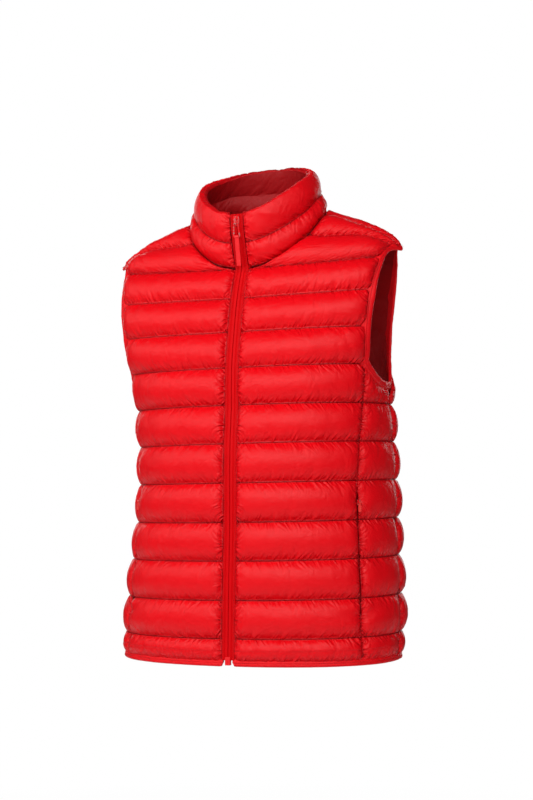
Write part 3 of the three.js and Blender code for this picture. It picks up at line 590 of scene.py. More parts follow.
def slit_open(points, cloth, column, z):
    """Moves an edge back from the pocket's opening."""
    other = 1 if column == 0 else -2
    away = unit(cloth.points[:, other] - cloth.points[:, column])
    edge = cloth.first if column == 0 else cloth.last
    shift = pocket_opening(z)[:, None] * np.exp(-edge / 3)
    return points + away[:, None, :] * shift[..., None]


def pocket_room(height, cloth, edge):
    """Heights with room for a pocket's pull, and creases that run out from the pocket's top."""
    z = cloth.points[..., 2]
    room = np.exp(-((edge / 11) ** 2) - ((z - POCKET_TOP + 9) / 13) ** 2)
    crease = np.exp(-(((z - POCKET_TOP - 1 + 0.7 * edge) / 1.5) ** 2)) * np.exp(-((edge / 11) ** 4))
    return height - 0.9 * np.maximum(height, 0) * room - 1.6 * crease


def pocket_fold(cloth, edge, rise):
    """Depth of the fold that runs out from a pocket's lower end, pressed in after the filling."""
    low = (cloth.points[..., 2] - POCKET_BOTTOM + 1 - rise * edge) / (4 + 0.12 * edge)
    return 4.2 * np.exp(-(low**2) - (edge / 30) ** 2) * (1 - np.exp(-edge / 2.5))


def panel_pieces(sizes, columns, steps):
    """The five quilted panels: name, node, cloth and points."""
    pieces = []
    for name, side in SIDES:
        cloth = front_cloth(side, columns, steps)
        height = puffed(cloth, sizes.front_puff / MM, sizes, 100 + side)
        points = cloth.raised(pocket_room(height, cloth, cloth.last))
        cloth.fold = pocket_fold(cloth, cloth.last, 0.15)
        points = slit_open(points, cloth, -1, cloth.points[:, -1, 2])
        pieces.append(("front_panel_" + name, cloth, points))
        cloth = side_cloth(side, columns * 3 // 7, steps)
        height = puffed(cloth, sizes.side_puff / MM, sizes, 200 + side)
        points = cloth.raised(pocket_room(height, cloth, cloth.first))
        cloth.fold = pocket_fold(cloth, cloth.first, 0.36)
        points = slit_open(points, cloth, 0, cloth.points[:, 0, 2])
        pieces.append(("side_panel_" + name, cloth, points))
    cloth, _ = back_cloth(columns * 2, steps)
    pieces.append(("back_panel", cloth, cloth.raised(puffed(cloth, sizes.back_puff / MM, sizes, 300))))
    return pieces


def spread(values, at, count):
    """Rows of values known at some places, filled in at every place."""
    k = np.clip(np.searchsorted(at, np.arange(count), "right") - 1, 0, len(at) - 2)
    t = (np.arange(count) - at[k]) / (at[k + 1] - at[k])
    return lerp(values[k], values[k + 1], t[:, None, None])


def settled(cloth, points, sizes):
    """A panel's points after its filling has pushed the gathered cloth out between its stitch lines."""
    rows = np.arange(0, points.shape[0], 2)
    cols = np.unique(np.linspace(0, points.shape[1] - 1, points.shape[1] // 2 + 1).astype(int))
    pick = np.ix_(rows, cols)
    start = points[pick]
    cut = np.stack([cloth.first[pick] * (1 + sizes.gathering), lengths(start, 0), 0 * start[..., 0]], -1)
    obj = new_object("settling", start, grid_faces(len(rows), len(cols), cloth.outward))
    obj.shape_key_add(name="Basis")
    key = obj.shape_key_add(name="Cut")
    key.data.foreach_set("co", (cut * MM).ravel())
    near = np.minimum(np.minimum(cloth.below, cloth.above), np.minimum(cloth.first, cloth.last))
    obj.vertex_groups.new(name="Stitched").add(np.flatnonzero(near[pick] < 1e-6).tolist(), 1.0, "REPLACE")
    modifier = obj.modifiers.new("Cloth", "CLOTH")
    modifier.collision_settings.use_collision = False
    modifier.point_cache.frame_start, modifier.point_cache.frame_end = 1, sizes.settling
    sewn = modifier.settings
    sewn.rest_shape_key, sewn.vertex_group_mass = key, "Stitched"
    sewn.quality, sewn.mass, sewn.air_damping = 3, 0.0002, 1.0
    sewn.tension_stiffness = sewn.compression_stiffness = 10.0
    sewn.shear_stiffness, sewn.bending_stiffness = 3.0, 0.0005
    sewn.tension_damping = sewn.compression_damping = sewn.shear_damping = 0.5
    sewn.use_pressure, sewn.uniform_pressure_force = True, sizes.pressure
    sewn.effector_weights.gravity = 0.0
    for frame in range(1, sizes.settling + 1):
        bpy.context.scene.frame_set(frame)
    shape = obj.evaluated_get(bpy.context.evaluated_depsgraph_get()).to_mesh()
    after = np.empty(3 * start.shape[0] * start.shape[1])
    shape.vertices.foreach_get("co", after)
    mesh = obj.data
    bpy.data.objects.remove(obj)
    bpy.data.meshes.remove(mesh)
    bpy.context.scene.frame_set(1)
    moved = after.reshape(start.shape) / MM - start
    moved = moved * np.minimum(1, 3.5 / np.maximum(np.linalg.norm(moved, axis=-1, keepdims=True), 1e-6))
    moved = spread(moved, rows, points.shape[0]).transpose(1, 0, 2)
    return points + spread(moved, cols, points.shape[1]).transpose(1, 0, 2)


def neck_edge(columns):
    """The neck edge from the right end of the zip to its left end."""
    front = [
        front_points(side, np.zeros(41), np.linspace(TOP_LINE, LAST_LINE, 41)) for _, side in SIDES
    ]
    neck = neck_across()
    back = back_points(np.linspace(-neck, neck, 61), np.full(61, float(LAST_LINE)))
    path = np.concatenate([front[1][:-1], back, front[0][::-1][1:]])
    for _ in range(3):
        path[1:-1] = path[1:-1] * 0.5 + (path[2:] + path[:-2]) * 0.25
    return spaced(path, columns)


def spaced(path, count, loop=False):
    """Points spaced evenly along a path."""
    if loop:
        path = np.concatenate([path, path[:1]])
    s = np.concatenate([[0], np.cumsum(np.linalg.norm(np.diff(path, axis=0), axis=1))])
    at = np.linspace(0, s[-1], count, endpoint=not loop)
    return np.stack([np.interp(at, s, path[:, k]) for k in range(3)], -1)


def collar_grid(columns, rows):
    """The collar's stitched surface over rows from its neck edge (0) to its top (1)."""
    edge = neck_edge(columns)
    bearing = np.degrees(np.arctan2(edge[:, 0] - stance_shift(edge[:, 2]), COLLAR_CENTRE - edge[:, 1]))
    side = np.where(np.arange(columns) < columns / 2, -1, 1)
    bearing = np.maximum.accumulate(np.abs(bearing)[: columns // 2])
    bearing = np.concatenate([bearing, [180] * (columns % 2), bearing[::-1]])
    zip_bearing = math.degrees(math.asin(ZIP_HALF / COLLAR_HALF))
    first = bearing[0]
    turned = lerp(zip_bearing, 180, (bearing - first) / (180 - first))
    around = np.radians(turned)
    depth = np.where(turned < 90, COLLAR_CENTRE - COLLAR_FRONT, COLLAR_BACK - COLLAR_CENTRE)
    x, y = side * COLLAR_HALF * np.sin(around), -depth * np.cos(around)
    turn = math.radians(COLLAR_TURN)
    top = pose(
        x * math.cos(turn) - y * math.sin(turn),
        COLLAR_CENTRE + x * math.sin(turn) + y * math.cos(turn),
        collar_top_z(turned),
    )
    start = edge + unit(top - edge) * 1.2
    out = np.stack([side * np.sin(around), -np.cos(around), 0 * around], -1)
    h = rows[:, None, None]
    return lerp(start, top, h) + out * 3 * np.sin(np.pi * h)

def smoothed(values, passes, loop=False):
    """A path's values, each averaged with its neighbours' a few times."""
    values = values.copy()
    for _ in range(passes):
        if loop:
            values = 0.5 * values + 0.25 * (np.roll(values, 1, 0) + np.roll(values, -1, 0))
        else:
            values[1:-1] = 0.5 * values[1:-1] + 0.25 * (values[2:] + values[:-2])
    return values


def resampled(path, values, step, loop=False):
    """A path and values on it, at even steps of about the given length."""
    if loop:
        path, values = np.concatenate([path, path[:1]]), np.concatenate([values, values[:1]])
    s = np.concatenate([[0], np.cumsum(np.linalg.norm(np.diff(path, axis=0), axis=1))])
    at = np.linspace(0, s[-1], int(s[-1] / step) + 1, endpoint=not loop)

    def pick(v):
        return np.stack([np.interp(at, s, v[:, k]) for k in range(3)], -1)

    return pick(path), unit(pick(values)), at


def edge_of(points, across, line, outward, column=None, row=None):
    """Points and normals along one edge of a panel, from a thin strip of it."""
    grid = points(across, line)
    normals = grid_normals(grid, outward)
    if column is not None:
        return grid[:, column], normals[:, column]
    return grid[row], normals[row]


def armhole_path(side):
    """Points and normals round an armhole, from its lowest point in front and up."""
    front = edge_of(
        lambda a, b: front_points(side, a, b),
        np.array([[0.97, 1]]),
        np.linspace(8.04, LAST_LINE, 90)[:, None],
        side,
        column=-1,
    )
    edge = [[0.985, 1]] if side > 0 else [[-1, -0.985]]
    back = edge_of(
        back_points,
        np.array(edge),
        np.linspace(ARMHOLE_BACK_LINE, LAST_LINE, 100)[:, None],
        -1,
        column=-1 if side > 0 else 0,
    )
    under = edge_of(
        lambda a, b: side_points(side, a, b),
        np.linspace(0, 1, 24)[None, :],
        np.array([[7.94], [8]]),
        side,
        row=-1,
    )
    parts = [front, [v[::-1] for v in back], [v[::-1] for v in under]]
    path = np.concatenate([part[0][:-1] for part in parts])
    normals = np.concatenate([part[1][:-1] for part in parts])
    path, normals, _ = resampled(path, normals, 2.0, loop=True)
    path = smoothed(path, 5, loop=True)
    normals = unit(smoothed(normals, 12, loop=True))
    return path, normals


def hem_path():
    """Points and normals along the panels' lower edge, from the zip's right side to its left."""
    parts = []
    for side in (-1, 1):
        front = edge_of(
            lambda a, b, side=side: front_points(side, a, b),
            np.linspace(0, 1, 60)[None, :],
            np.array([[0], [0.04]]),
            side,
            row=0,
        )
        under = edge_of(
            lambda a, b, side=side: side_points(side, a, b),
            np.linspace(0, 1, 30)[None, :],
            np.array([[0], [0.04]]),
            side,
            row=0,
        )
        parts.append([np.concatenate([a[:-1], b]) for a, b in zip(front, under)])
    back = edge_of(
        back_points, np.linspace(-1, 1, 120)[None, :], np.array([[0], [0.04]]), -1, row=0
    )
    right, left = parts
    path, normals = (
        np.concatenate([right[k][:-1], back[k][:-1], left[k][::-1]]) for k in range(2)
    )
    path, normals, _ = resampled(path, normals, 2.0)
    path = smoothed(path, 3)
    longer = [path[0] + 2.4 * unit(path[0] - path[3]), path[-1] + 2.4 * unit(path[-1] - path[-4])]
    path = np.concatenate([longer[:1], path, longer[1:]])
    normals = np.concatenate([normals[:1], normals, normals[-1:]])
    return path, unit(smoothed(normals, 8))


# Section of a binding: distance out from the panel's edge, and height over its stitched surface
BINDING_SECTION = [
    (-7.5, -1.7),
    (-1.2, 0.2),
    (-0.4, 1.0),
    (0.4, 1.35),
    (1.2, 1.3),
    (1.7, 1.0),
    (2.2, 1.25),
    (3.4, 1.6),
    (5.2, 1.7),
    (7.0, 1.4),
    (8.2, 0.75),
    (8.9, -0.2),
    (9.0, -1.3),
    (8.4, -2.3),
    (7.0, -2.9),
    (4.6, -3.1),
    (1.0, -3.0),
    (-7.5, -2.5),
]


def binding_points(path, normals, outward, width, seed, loop):
    """A folded strip of cloth along an edge, with its points and UVs."""
    if loop:
        along = np.roll(path, -1, 0) - np.roll(path, 1, 0)
    else:
        along = np.gradient(path, axis=0)
    away = unit(np.cross(along, normals))
    away = away * np.where((away * outward(path)).sum(-1, keepdims=True) < 0, -1, 1)
    inner = unit(smoothed(away, 10, loop))
    tip = np.clip(normals[:, 2:] - 0.1, 0, 1)
    away = unit(away + tip * np.array([0.0, 0.0, -3.0]))
    away = unit(smoothed(away, 10, loop))
    s = np.concatenate([[0], np.cumsum(np.linalg.norm(np.diff(path, axis=0), axis=1))])
    section = np.array(BINDING_SECTION)
    narrow = np.minimum(1, 1.4 * tip)  # the strip narrows over the shoulder
    over = np.maximum(section[None, :, 0] - 2.2, 0)
    out = section[None, :, 0] - over + over * (width - 2.2) / 6.8 * (1 - 0.85 * narrow)
    top = np.where(section[:, 1] > -1.0, 1.0, 0.0)
    if not loop:
        turn = np.clip(np.minimum(s, s[-1] - s) / 4, 0, 1)
        out = np.where(out > 1, 1 + (out - 1) * np.sqrt(1 - (1 - turn) ** 2)[:, None], out)
    ripple = 0.34 * noise(s[:, None] / 5.2, out / 5, seed)
    ripple = ripple + 0.28 * noise(s[:, None] / 14, out / 9, seed + 1)
    up = section[None, :, 1] * (1 - 0.4 * narrow) + ripple * top
    points = (
        path[:, None]
        + np.where(out[..., None] > 0, away[:, None], inner[:, None]) * out[..., None]
        + normals[:, None] * up[..., None]
    )
    uv = np.stack(np.broadcast_arrays(s[:, None], np.cumsum(np.hypot(*np.gradient(section, axis=0).T))), -1)
    return points, uv


def collar_cloth(columns, steps):
    """The collar's stitched surface, with whole lines at its neck, its middle and past its top."""
    rows = quilt_rows(2, steps)
    past = 1.12
    h = np.where(rows < 1, rows * COLLAR_MIDDLE, COLLAR_MIDDLE + (rows - 1) * (past - COLLAR_MIDDLE))
    points = collar_grid(columns, h)
    return Cloth(points, rows, -1), h


def collar_surfaces(sizes, columns, steps):
    """The collar's outer cloth with its rim and ends, and its lining."""
    cloth, h = collar_cloth(columns, steps)
    full = sizes.collar_puff / MM
    near = np.minimum(cloth.below, cloth.above)
    fill = crest(cloth.share) * np.where(cloth.number == 0, 0.92, 1.0)
    ends = (1 - np.exp(-cloth.first / 7)) * (1 - np.exp(-cloth.last / 7))
    height = full * fill * ends * (1 + 0.12 * noise(cloth.first / 17, cloth.number * 3.1, 401))
    height = height + 0.8 * noise(cloth.first / 38, cloth.up / 30, 402) * (1 - np.exp(-near / 9))
    height = height - sizes.pucker_depth * puckers(cloth, sizes, 410)
    for k, edge in enumerate((cloth.first, cloth.last)):
        height = height - 0.9 * sizes.pucker_depth * seam_puckers(cloth, edge, sizes, 420 + 5 * k, 11)
    height = height - 0.7 * np.exp(-near / 0.8)
    inside = -WALL - 3.3 - 3.5 * fill * ends
    inside = inside + 0.5 * sizes.pucker_depth * puckers(cloth, sizes, 440)
    kept = h <= 1.0
    outer = cloth.raised(height)[kept]
    inner = cloth.raised(inside)[kept]
    for part, down in ((outer, 3.5), (inner, 5)):  # both are tucked in under the neck edge
        part[0] -= unit(part[4] - part[0]) * down + cloth.normals[0] * 1.5
    up = unit(outer[-1] - outer[-3])
    middle, half = (outer[-1] + inner[-1]) / 2, (outer[-1] - inner[-1]) / 2
    notch = 1 + 0.25 * noise(cloth.first[0] / 9, 0, 430) - 0.5 * creases(cloth.first[0] / 12, 0, 431, 0.3)
    rise = (2.8 * notch)[:, None]
    rim = [middle + half * math.cos(a) + up * rise * math.sin(a) for a in np.radians(range(12, 180, 12))]
    outer = np.concatenate([outer, rim, inner[-1:]])
    return cloth, outer, inner


def cloth_part(cloth, rows):
    """The first rows of a cloth's distances, with its last row repeated where there are more."""
    part = object.__new__(Cloth)
    part.pull = cloth.pull
    pick = np.minimum(np.arange(rows), cloth.first.shape[0] - 1)
    for name in ("first", "last", "up", "below", "above", "number", "share"):
        setattr(part, name, getattr(cloth, name)[pick])
    return part


def capped(outer, inner, outward):
    """Faces of the outer grid, with its ends closed against the inner one."""
    rows, cols = outer.shape[:2]
    count = inner.shape[0]
    points = np.concatenate([outer.reshape(-1, 3), inner[:, 0], inner[:, -1]])
    faces = grid_faces(rows, cols, outward).tolist()
    base = rows * cols
    for i in range(count - 1):
        a, b, c, d = i * cols, (i + 1) * cols, base + i + 1, base + i
        faces.append([a, d, c, b] if outward > 0 else [a, b, c, d])
        a, b = a + cols - 1, b + cols - 1
        c, d = c + count, d + count
        faces.append([a, b, c, d] if outward > 0 else [a, d, c, b])
    return points, faces


class ZipLine:
    """The zip's middle from the hem to the collar's top: p with x to the left, n out and t up."""

    def __init__(self, step=1.5):
        lines = np.linspace(0, TOP_LINE, 260)
        ends = [front_points(side, np.zeros(260), lines) for _, side in SIDES]
        collar = collar_grid(201, np.linspace(0, 1, 40))[1:]
        left = np.concatenate([ends[0], collar[:, -1]])
        right = np.concatenate([ends[1], collar[:, 0]])
        path, x, s = resampled((left + right) / 2, left - right, step)
        self.p, self.x, self.s = smoothed(path, 6), unit(smoothed(x, 6)), s
        self.t = unit(np.gradient(self.p, axis=0))
        self.n = unit(np.cross(self.x, self.t))
        self.length = s[-1]

    def at(self, s):
        values = [
            np.array([np.interp(s, self.s, v[:, k]) for k in range(3)])
            for v in (self.p, self.x, self.t, self.n)
        ]
        return values[0], *(unit(v) for v in values[1:])

    def strip(self, section, start, end, lift=None):
        """Points of a section, as distances across and out, swept from start to end."""
        keep = (self.s >= start) & (self.s <= end)
        across, out = np.array(section).T
        out = np.broadcast_to(out, (keep.sum(), len(out)))
        if lift is not None:
            out = out + lift(self.s[keep][:, None], across[None, :])
        points = (
            self.p[keep][:, None]
            + self.x[keep][:, None] * across[None, :, None]
            + self.n[keep][:, None] * out[..., None]
        )
        run = np.concatenate([[0], np.cumsum(np.hypot(*np.diff(np.array(section), axis=0).T))])
        uv = np.stack(np.broadcast_arrays(run[None, :], self.s[keep][:, None]), -1)
        return points, uv


# Section of one side of the zip: distance from its middle, and height over the stitched surface
TAPE_SECTION = [
    (0.3, -2.2),
    (0.28, -0.3),
    (0.45, 0.3),
    (0.9, 0.62),
    (1.6, 0.7),
    (2.6, 0.62),
    (3.4, 0.5),
    (3.95, 0.25),
    (4.25, -0.35),
    (4.5, -1.0),
    (5.0, -1.15),
    (5.5, -0.95),
    (5.8, -0.2),
    (6.2, 0.3),
    (6.8, 0.42),
    (7.3, 0.1),
    (7.8, 0.36),
    (8.4, 0.25),
    (8.9, -0.25),
    (9.3, -1.2),
    (9.5, -2.2),
]


def prism(points, faces, middle, along, across, out, length, radius, squash=0.8):
    """Adds one stitch or tooth, long and tapered, to lists of points and faces."""
    base = len(points)
    points.extend(
        [
            middle - along * length / 2,
            middle + along * length / 2,
            middle + across * radius,
            middle + out * radius * squash,
            middle - across * radius,
            middle - out * radius * squash,
        ]
    )
    for k in range(4):
        a, b = base + 2 + k, base + 2 + (k + 1) % 4
        faces.append([base, b, a])
        faces.append([base + 1, a, b])


def stitch_row(points, faces, path, normals, pitch, length, radius, lift):
    """Stitches along a path on the cloth."""
    path = path + normals * lift
    s = np.concatenate([[0], np.cumsum(np.linalg.norm(np.diff(path, axis=0), axis=1))])
    if s[-1] < 3 * pitch:
        return
    at = np.arange(pitch, s[-1] - pitch / 2, pitch)
    spots, outs = (
        np.stack([np.interp(at, s, v[:, k]) for k in range(3)], -1) for v in (path, normals)
    )
    ways = unit(np.gradient(spots, axis=0))
    for spot, way, out in zip(spots, ways, unit(outs)):
        prism(points, faces, spot, way, unit(np.cross(out, way)), out, length, radius)


def refined(node, name, bevel, segments=2, angle=28.0):
    """A copy of a hard solid with clean faces and rounded edges, in millimetres from its origin."""
    source = bpy.data.objects[node]
    mesh = source.data.copy()
    obj = bpy.data.objects.new(name, mesh)
    bpy.context.collection.objects.link(obj)
    obj.matrix_world = source.matrix_world.copy()
    work = bmesh.new()
    work.from_mesh(mesh)
    bmesh.ops.remove_doubles(work, verts=work.verts, dist=1e-6)
    bmesh.ops.dissolve_limit(
        work, angle_limit=math.radians(2.0), verts=work.verts, edges=work.edges
    )
    edges = [e for e in work.edges if e.is_manifold and e.calc_face_angle(0) > math.radians(angle)]
    bmesh.ops.bevel(
        work,
        geom=edges,
        offset=bevel * MM,
        segments=segments,
        profile=0.6,
        affect="EDGES",
        clamp_overlap=True,
    )
    for face in work.faces:
        face.smooth = True
    work.to_mesh(mesh)
    work.free()
    mesh.update()
    obj.modifiers.new("Weighted normals", "WEIGHTED_NORMAL").keep_sharp = True
    return obj


class VestSizes(bpy.types.PropertyGroup):
    """Sizes of the vest's filling, gathers and sewing."""

    front_puff: FloatProperty(
        name="Front puff",
        description="Height of a front baffle over its stitch lines",
        default=8.5 * MM,
        min=2 * MM,
        max=14 * MM,
        unit="LENGTH",
    )
    side_puff: FloatProperty(
        name="Side puff",
        description="Height of a side baffle over its stitch lines",
        default=5.4 * MM,
        min=2 * MM,
        max=12 * MM,
        unit="LENGTH",
    )
    back_puff: FloatProperty(
        name="Back puff",
        description="Height of a back baffle over its stitch lines",
        default=7 * MM,
        min=2 * MM,
        max=14 * MM,
        unit="LENGTH",
    )
    collar_puff: FloatProperty(
        name="Collar puff",
        description="Height of the collar's baffles over their stitch line",
        default=6 * MM,
        min=2 * MM,
        max=10 * MM,
        unit="LENGTH",
    )
    pucker_depth: FloatProperty(
        name="Gather depth",
        description="Depth of the gathers beside a stitch line, in millimetres",
        default=2.0,
        min=0,
        max=3,
    )
    pucker_pitch: FloatProperty(
        name="Gather spacing",
        description="Typical distance between two gathers, in millimetres",
        default=6.0,
        min=2,
        max=12,
    )
    columns: IntProperty(
        name="Columns",
        description="Columns of points across a front panel",
        default=170,
        min=24,
        max=180,
    )
    steps: IntProperty(
        name="Steps",
        description="Rows of points in each baffle",
        default=20,
        min=8,
        max=28,
    )
    gathering: FloatProperty(
        name="Gathering",
        description="Extra length of the cloth along its stitch lines, as a share of them",
        default=0.1,
        min=0,
        max=0.3,
        subtype="FACTOR",
    )
    pressure: FloatProperty(
        name="Filling pressure",
        description="Pressure of the filling on the cloth while it settles",
        default=600,
        min=0,
        max=5000,
    )
    settling: IntProperty(
        name="Settling frames",
        description="Frames that the cloth simulation runs for",
        default=20,
        min=2,
        max=60,
    )


class VestColours(bpy.types.PropertyGroup):
    """Colours of the vest's cloth and trims."""

    cloth: FloatVectorProperty(
        name="Cloth",
        description="Colour of the outer cloth",
        default=(0.80, 0.0012, 0.006),
        size=3,
        min=0,
        max=1,
        subtype="COLOR",
    )
    # Painted shade: the lining's colour is set far below the cloth's, standing in for the shade inside the collar and
    # the vest.
    lining: FloatVectorProperty(
        name="Lining",
        description="Colour of the lining",
        default=(0.36, 0.002, 0.004),
        size=3,
        min=0,
        max=1,
        subtype="COLOR",
    )
    tape: FloatVectorProperty(
        name="Zip tape",
        description="Colour of the zip's tape",
        default=(0.66, 0.0004, 0.003),
        size=3,
        min=0,
        max=1,
        subtype="COLOR",
    )
    metal: FloatVectorProperty(
        name="Bare metal",
        description="Colour of metal where its paint has worn off",
        default=(0.72, 0.42, 0.40),
        size=3,
        min=0,
        max=1,
        subtype="COLOR",
    )


def settings():
    return bpy.context.scene.vest_sizes, bpy.context.scene.vest_colours


class Nodes:
    """Adds and links nodes of one tree."""

    def __init__(self, tree):
        self.tree = tree
        tree.nodes.clear()

    def add(self, kind, inputs=None, **values):
        node = self.tree.nodes.new(kind)
        for key, value in values.items():
            setattr(node, key, value)
        for key, value in (inputs or {}).items():
            socket = node.inputs[key]
            if isinstance(value, bpy.types.NodeSocket):
                self.tree.links.new(value, socket)
            else:
                socket.default_value = value
        return node

    def math(self, operation, a, b=0.0, c=0.0):
        node = self.add("ShaderNodeMath", {0: a, 1: b, 2: c}, operation=operation)
        return node.outputs[0]


def group_tree(name, inputs, outputs):
    """An empty shader node group with its sockets, given as name, type and default."""
    tree = bpy.data.node_groups.new(name, "ShaderNodeTree")
    nodes = Nodes(tree)
    for label, kind, value in inputs:
        socket = tree.interface.new_socket(label, in_out="INPUT", socket_type=kind)
        if value is not None:
            socket.default_value = value
    for label, kind in outputs:
        tree.interface.new_socket(label, in_out="OUTPUT", socket_type=kind)
    return tree, nodes, nodes.add("NodeGroupInput"), nodes.add("NodeGroupOutput")


def weave_group():
    """Threads crossing over and under each other."""
    if "Plain weave" in bpy.data.node_groups:
        return bpy.data.node_groups["Plain weave"]
    tree, nodes, given, result = group_tree(
        "Plain weave",
        [("Vector", "NodeSocketVector", None), ("Threads per metre", "NodeSocketFloat", 2500.0)],
        [("Height", "NodeSocketFloat")],
    )
    split = nodes.add("ShaderNodeSeparateXYZ", {0: given.outputs["Vector"]})
    turns = nodes.math("MULTIPLY", given.outputs["Threads per metre"], math.pi)
    warp = nodes.math("SINE", nodes.math("MULTIPLY", split.outputs[0], turns))
    weft = nodes.math("SINE", nodes.math("MULTIPLY", split.outputs[1], turns))
    height = nodes.math("MULTIPLY", warp, weft)
    nodes.tree.links.new(nodes.math("MULTIPLY_ADD", height, 0.5, 0.5), result.inputs["Height"])
    return tree


def crinkle_group():
    """Small soft wrinkles of thin cloth, at two sizes."""
    if "Soft crinkle" in bpy.data.node_groups:
        return bpy.data.node_groups["Soft crinkle"]
    tree, nodes, given, result = group_tree(
        "Soft crinkle",
        [
            ("Vector", "NodeSocketVector", None),
            ("Wrinkles per metre", "NodeSocketFloat", 110.0),
            ("Distortion", "NodeSocketFloat", 0.6),
        ],
        [("Height", "NodeSocketFloat"), ("Mask", "NodeSocketFloat")],
    )
    scale = given.outputs["Wrinkles per metre"]
    large = nodes.add(
        "ShaderNodeTexNoise",
        {
            "Vector": given.outputs["Vector"],
            "Scale": scale,
            "Detail": 2.0,
            "Distortion": given.outputs["Distortion"],
        },
    )
    fold = nodes.math("ABSOLUTE", nodes.math("SUBTRACT", large.outputs["Fac"], 0.5))
    fold = nodes.math("MINIMUM", nodes.math("MULTIPLY", fold, 7.0), 1.0)
    fine = nodes.add(
        "ShaderNodeTexNoise",
        {
            "Vector": given.outputs["Vector"],
            "Scale": nodes.math("MULTIPLY", scale, 3.1),
            "Detail": 3.0,
        },
    )
    height = nodes.math("MULTIPLY_ADD", fine.outputs["Fac"], 0.35, fold)
    nodes.tree.links.new(height, result.inputs["Height"])
    nodes.tree.links.new(large.outputs["Fac"], result.inputs["Mask"])
    return tree


def gather_group():
    """Short fine gathers beside a row of stitches, from where a point lies along and beside it."""
    if "Fine gathers" in bpy.data.node_groups:
        return bpy.data.node_groups["Fine gathers"]
    tree, nodes, given, result = group_tree(
        "Fine gathers",
        [
            ("Place", "NodeSocketVector", None),
            ("Spacing", "NodeSocketFloat", 5.0),
            ("Reach", "NodeSocketFloat", 7.0),
            ("Lean", "NodeSocketFloat", 0.5),
        ],
        [("Height", "NodeSocketFloat")],
    )
    split = nodes.add("ShaderNodeSeparateXYZ", {0: given.outputs["Place"]})
    along, near, number = split.outputs
    slow = nodes.add("ShaderNodeCombineXYZ", {0: nodes.math("MULTIPLY", along, 0.04), 2: number})
    lean = nodes.add("ShaderNodeTexNoise", {"Vector": slow.outputs[0], "Scale": 1.0, "Detail": 1.0})
    lean = nodes.math("MULTIPLY", nodes.math("SUBTRACT", lean.outputs["Fac"], 0.5), 4.0)
    lean = nodes.math("MULTIPLY", nodes.math("MULTIPLY", lean, given.outputs["Lean"]), near)
    run = nodes.math("DIVIDE", nodes.math("ADD", along, lean), given.outputs["Spacing"])
    place = nodes.add(
        "ShaderNodeCombineXYZ", {0: run, 1: nodes.math("MULTIPLY", near, 0.035), 2: number}
    )
    strokes = nodes.add("ShaderNodeTexNoise", {"Vector": place.outputs[0], "Scale": 1.0, "Detail": 1.5})
    fold = nodes.math("ABSOLUTE", nodes.math("SUBTRACT", strokes.outputs["Fac"], 0.5))
    fold = nodes.math("SUBTRACT", 1.0, nodes.math("MINIMUM", nodes.math("MULTIPLY", fold, 6.0), 1.0))
    fold = nodes.math("SMOOTH_MIN", fold, 0.85, 0.3)
    patch = nodes.add("ShaderNodeCombineXYZ", {0: nodes.math("MULTIPLY", along, 0.09), 2: number})
    long = nodes.add("ShaderNodeTexNoise", {"Vector": patch.outputs[0], "Scale": 1.0, "Detail": 0.0})
    reach = nodes.math("MULTIPLY", nodes.math("MULTIPLY", long.outputs["Fac"], 2.0), given.outputs["Reach"])
    fall = nodes.math("EXPONENT", nodes.math("DIVIDE", nodes.math("MULTIPLY", near, -1.0), reach))
    start = nodes.math("MINIMUM", nodes.math("MULTIPLY", near, 0.7), 1.0)
    end = nodes.math("MAXIMUM", nodes.math("MULTIPLY_ADD", near, -0.05, 1.0), 0.0)
    height = nodes.math("MULTIPLY", nodes.math("MULTIPLY", fold, fall), nodes.math("MULTIPLY", start, end))
    nodes.tree.links.new(nodes.math("SUBTRACT", 1.0, height), result.inputs["Height"])
    return tree


def fade_group():
    """A colour that varies softly towards a second one."""
    if "Uneven dye" in bpy.data.node_groups:
        return bpy.data.node_groups["Uneven dye"]
    tree, nodes, given, result = group_tree(
        "Uneven dye",
        [
            ("Vector", "NodeSocketVector", None),
            ("Colour", "NodeSocketColor", (0.8, 0.0, 0.0, 1.0)),
            ("Deeper", "NodeSocketColor", (0.5, 0.0, 0.0, 1.0)),
            ("Patches per metre", "NodeSocketFloat", 20.0),
            ("Amount", "NodeSocketFloat", 0.3),
        ],
        [("Colour", "NodeSocketColor")],
    )
    patches = nodes.add(
        "ShaderNodeTexNoise",
        {
            "Vector": given.outputs["Vector"],
            "Scale": given.outputs["Patches per metre"],
            "Detail": 4.0,
            "Roughness": 0.6,
        },
    )
    amount = nodes.math("MULTIPLY", patches.outputs["Fac"], given.outputs["Amount"])
    mix = nodes.add("ShaderNodeMix", data_type="RGBA")
    nodes.tree.links.new(amount, mix.inputs[0])
    nodes.tree.links.new(given.outputs["Colour"], mix.inputs[6])
    nodes.tree.links.new(given.outputs["Deeper"], mix.inputs[7])
    nodes.tree.links.new(mix.outputs[2], result.inputs["Colour"])
    return tree


def placed_group(nodes, tree, inputs):
    node = nodes.add("ShaderNodeGroup", node_tree=tree)
    for key, value in inputs.items():
        if isinstance(value, bpy.types.NodeSocket):
            nodes.tree.links.new(value, node.inputs[key])
        else:
            node.inputs[key].default_value = value
    return node


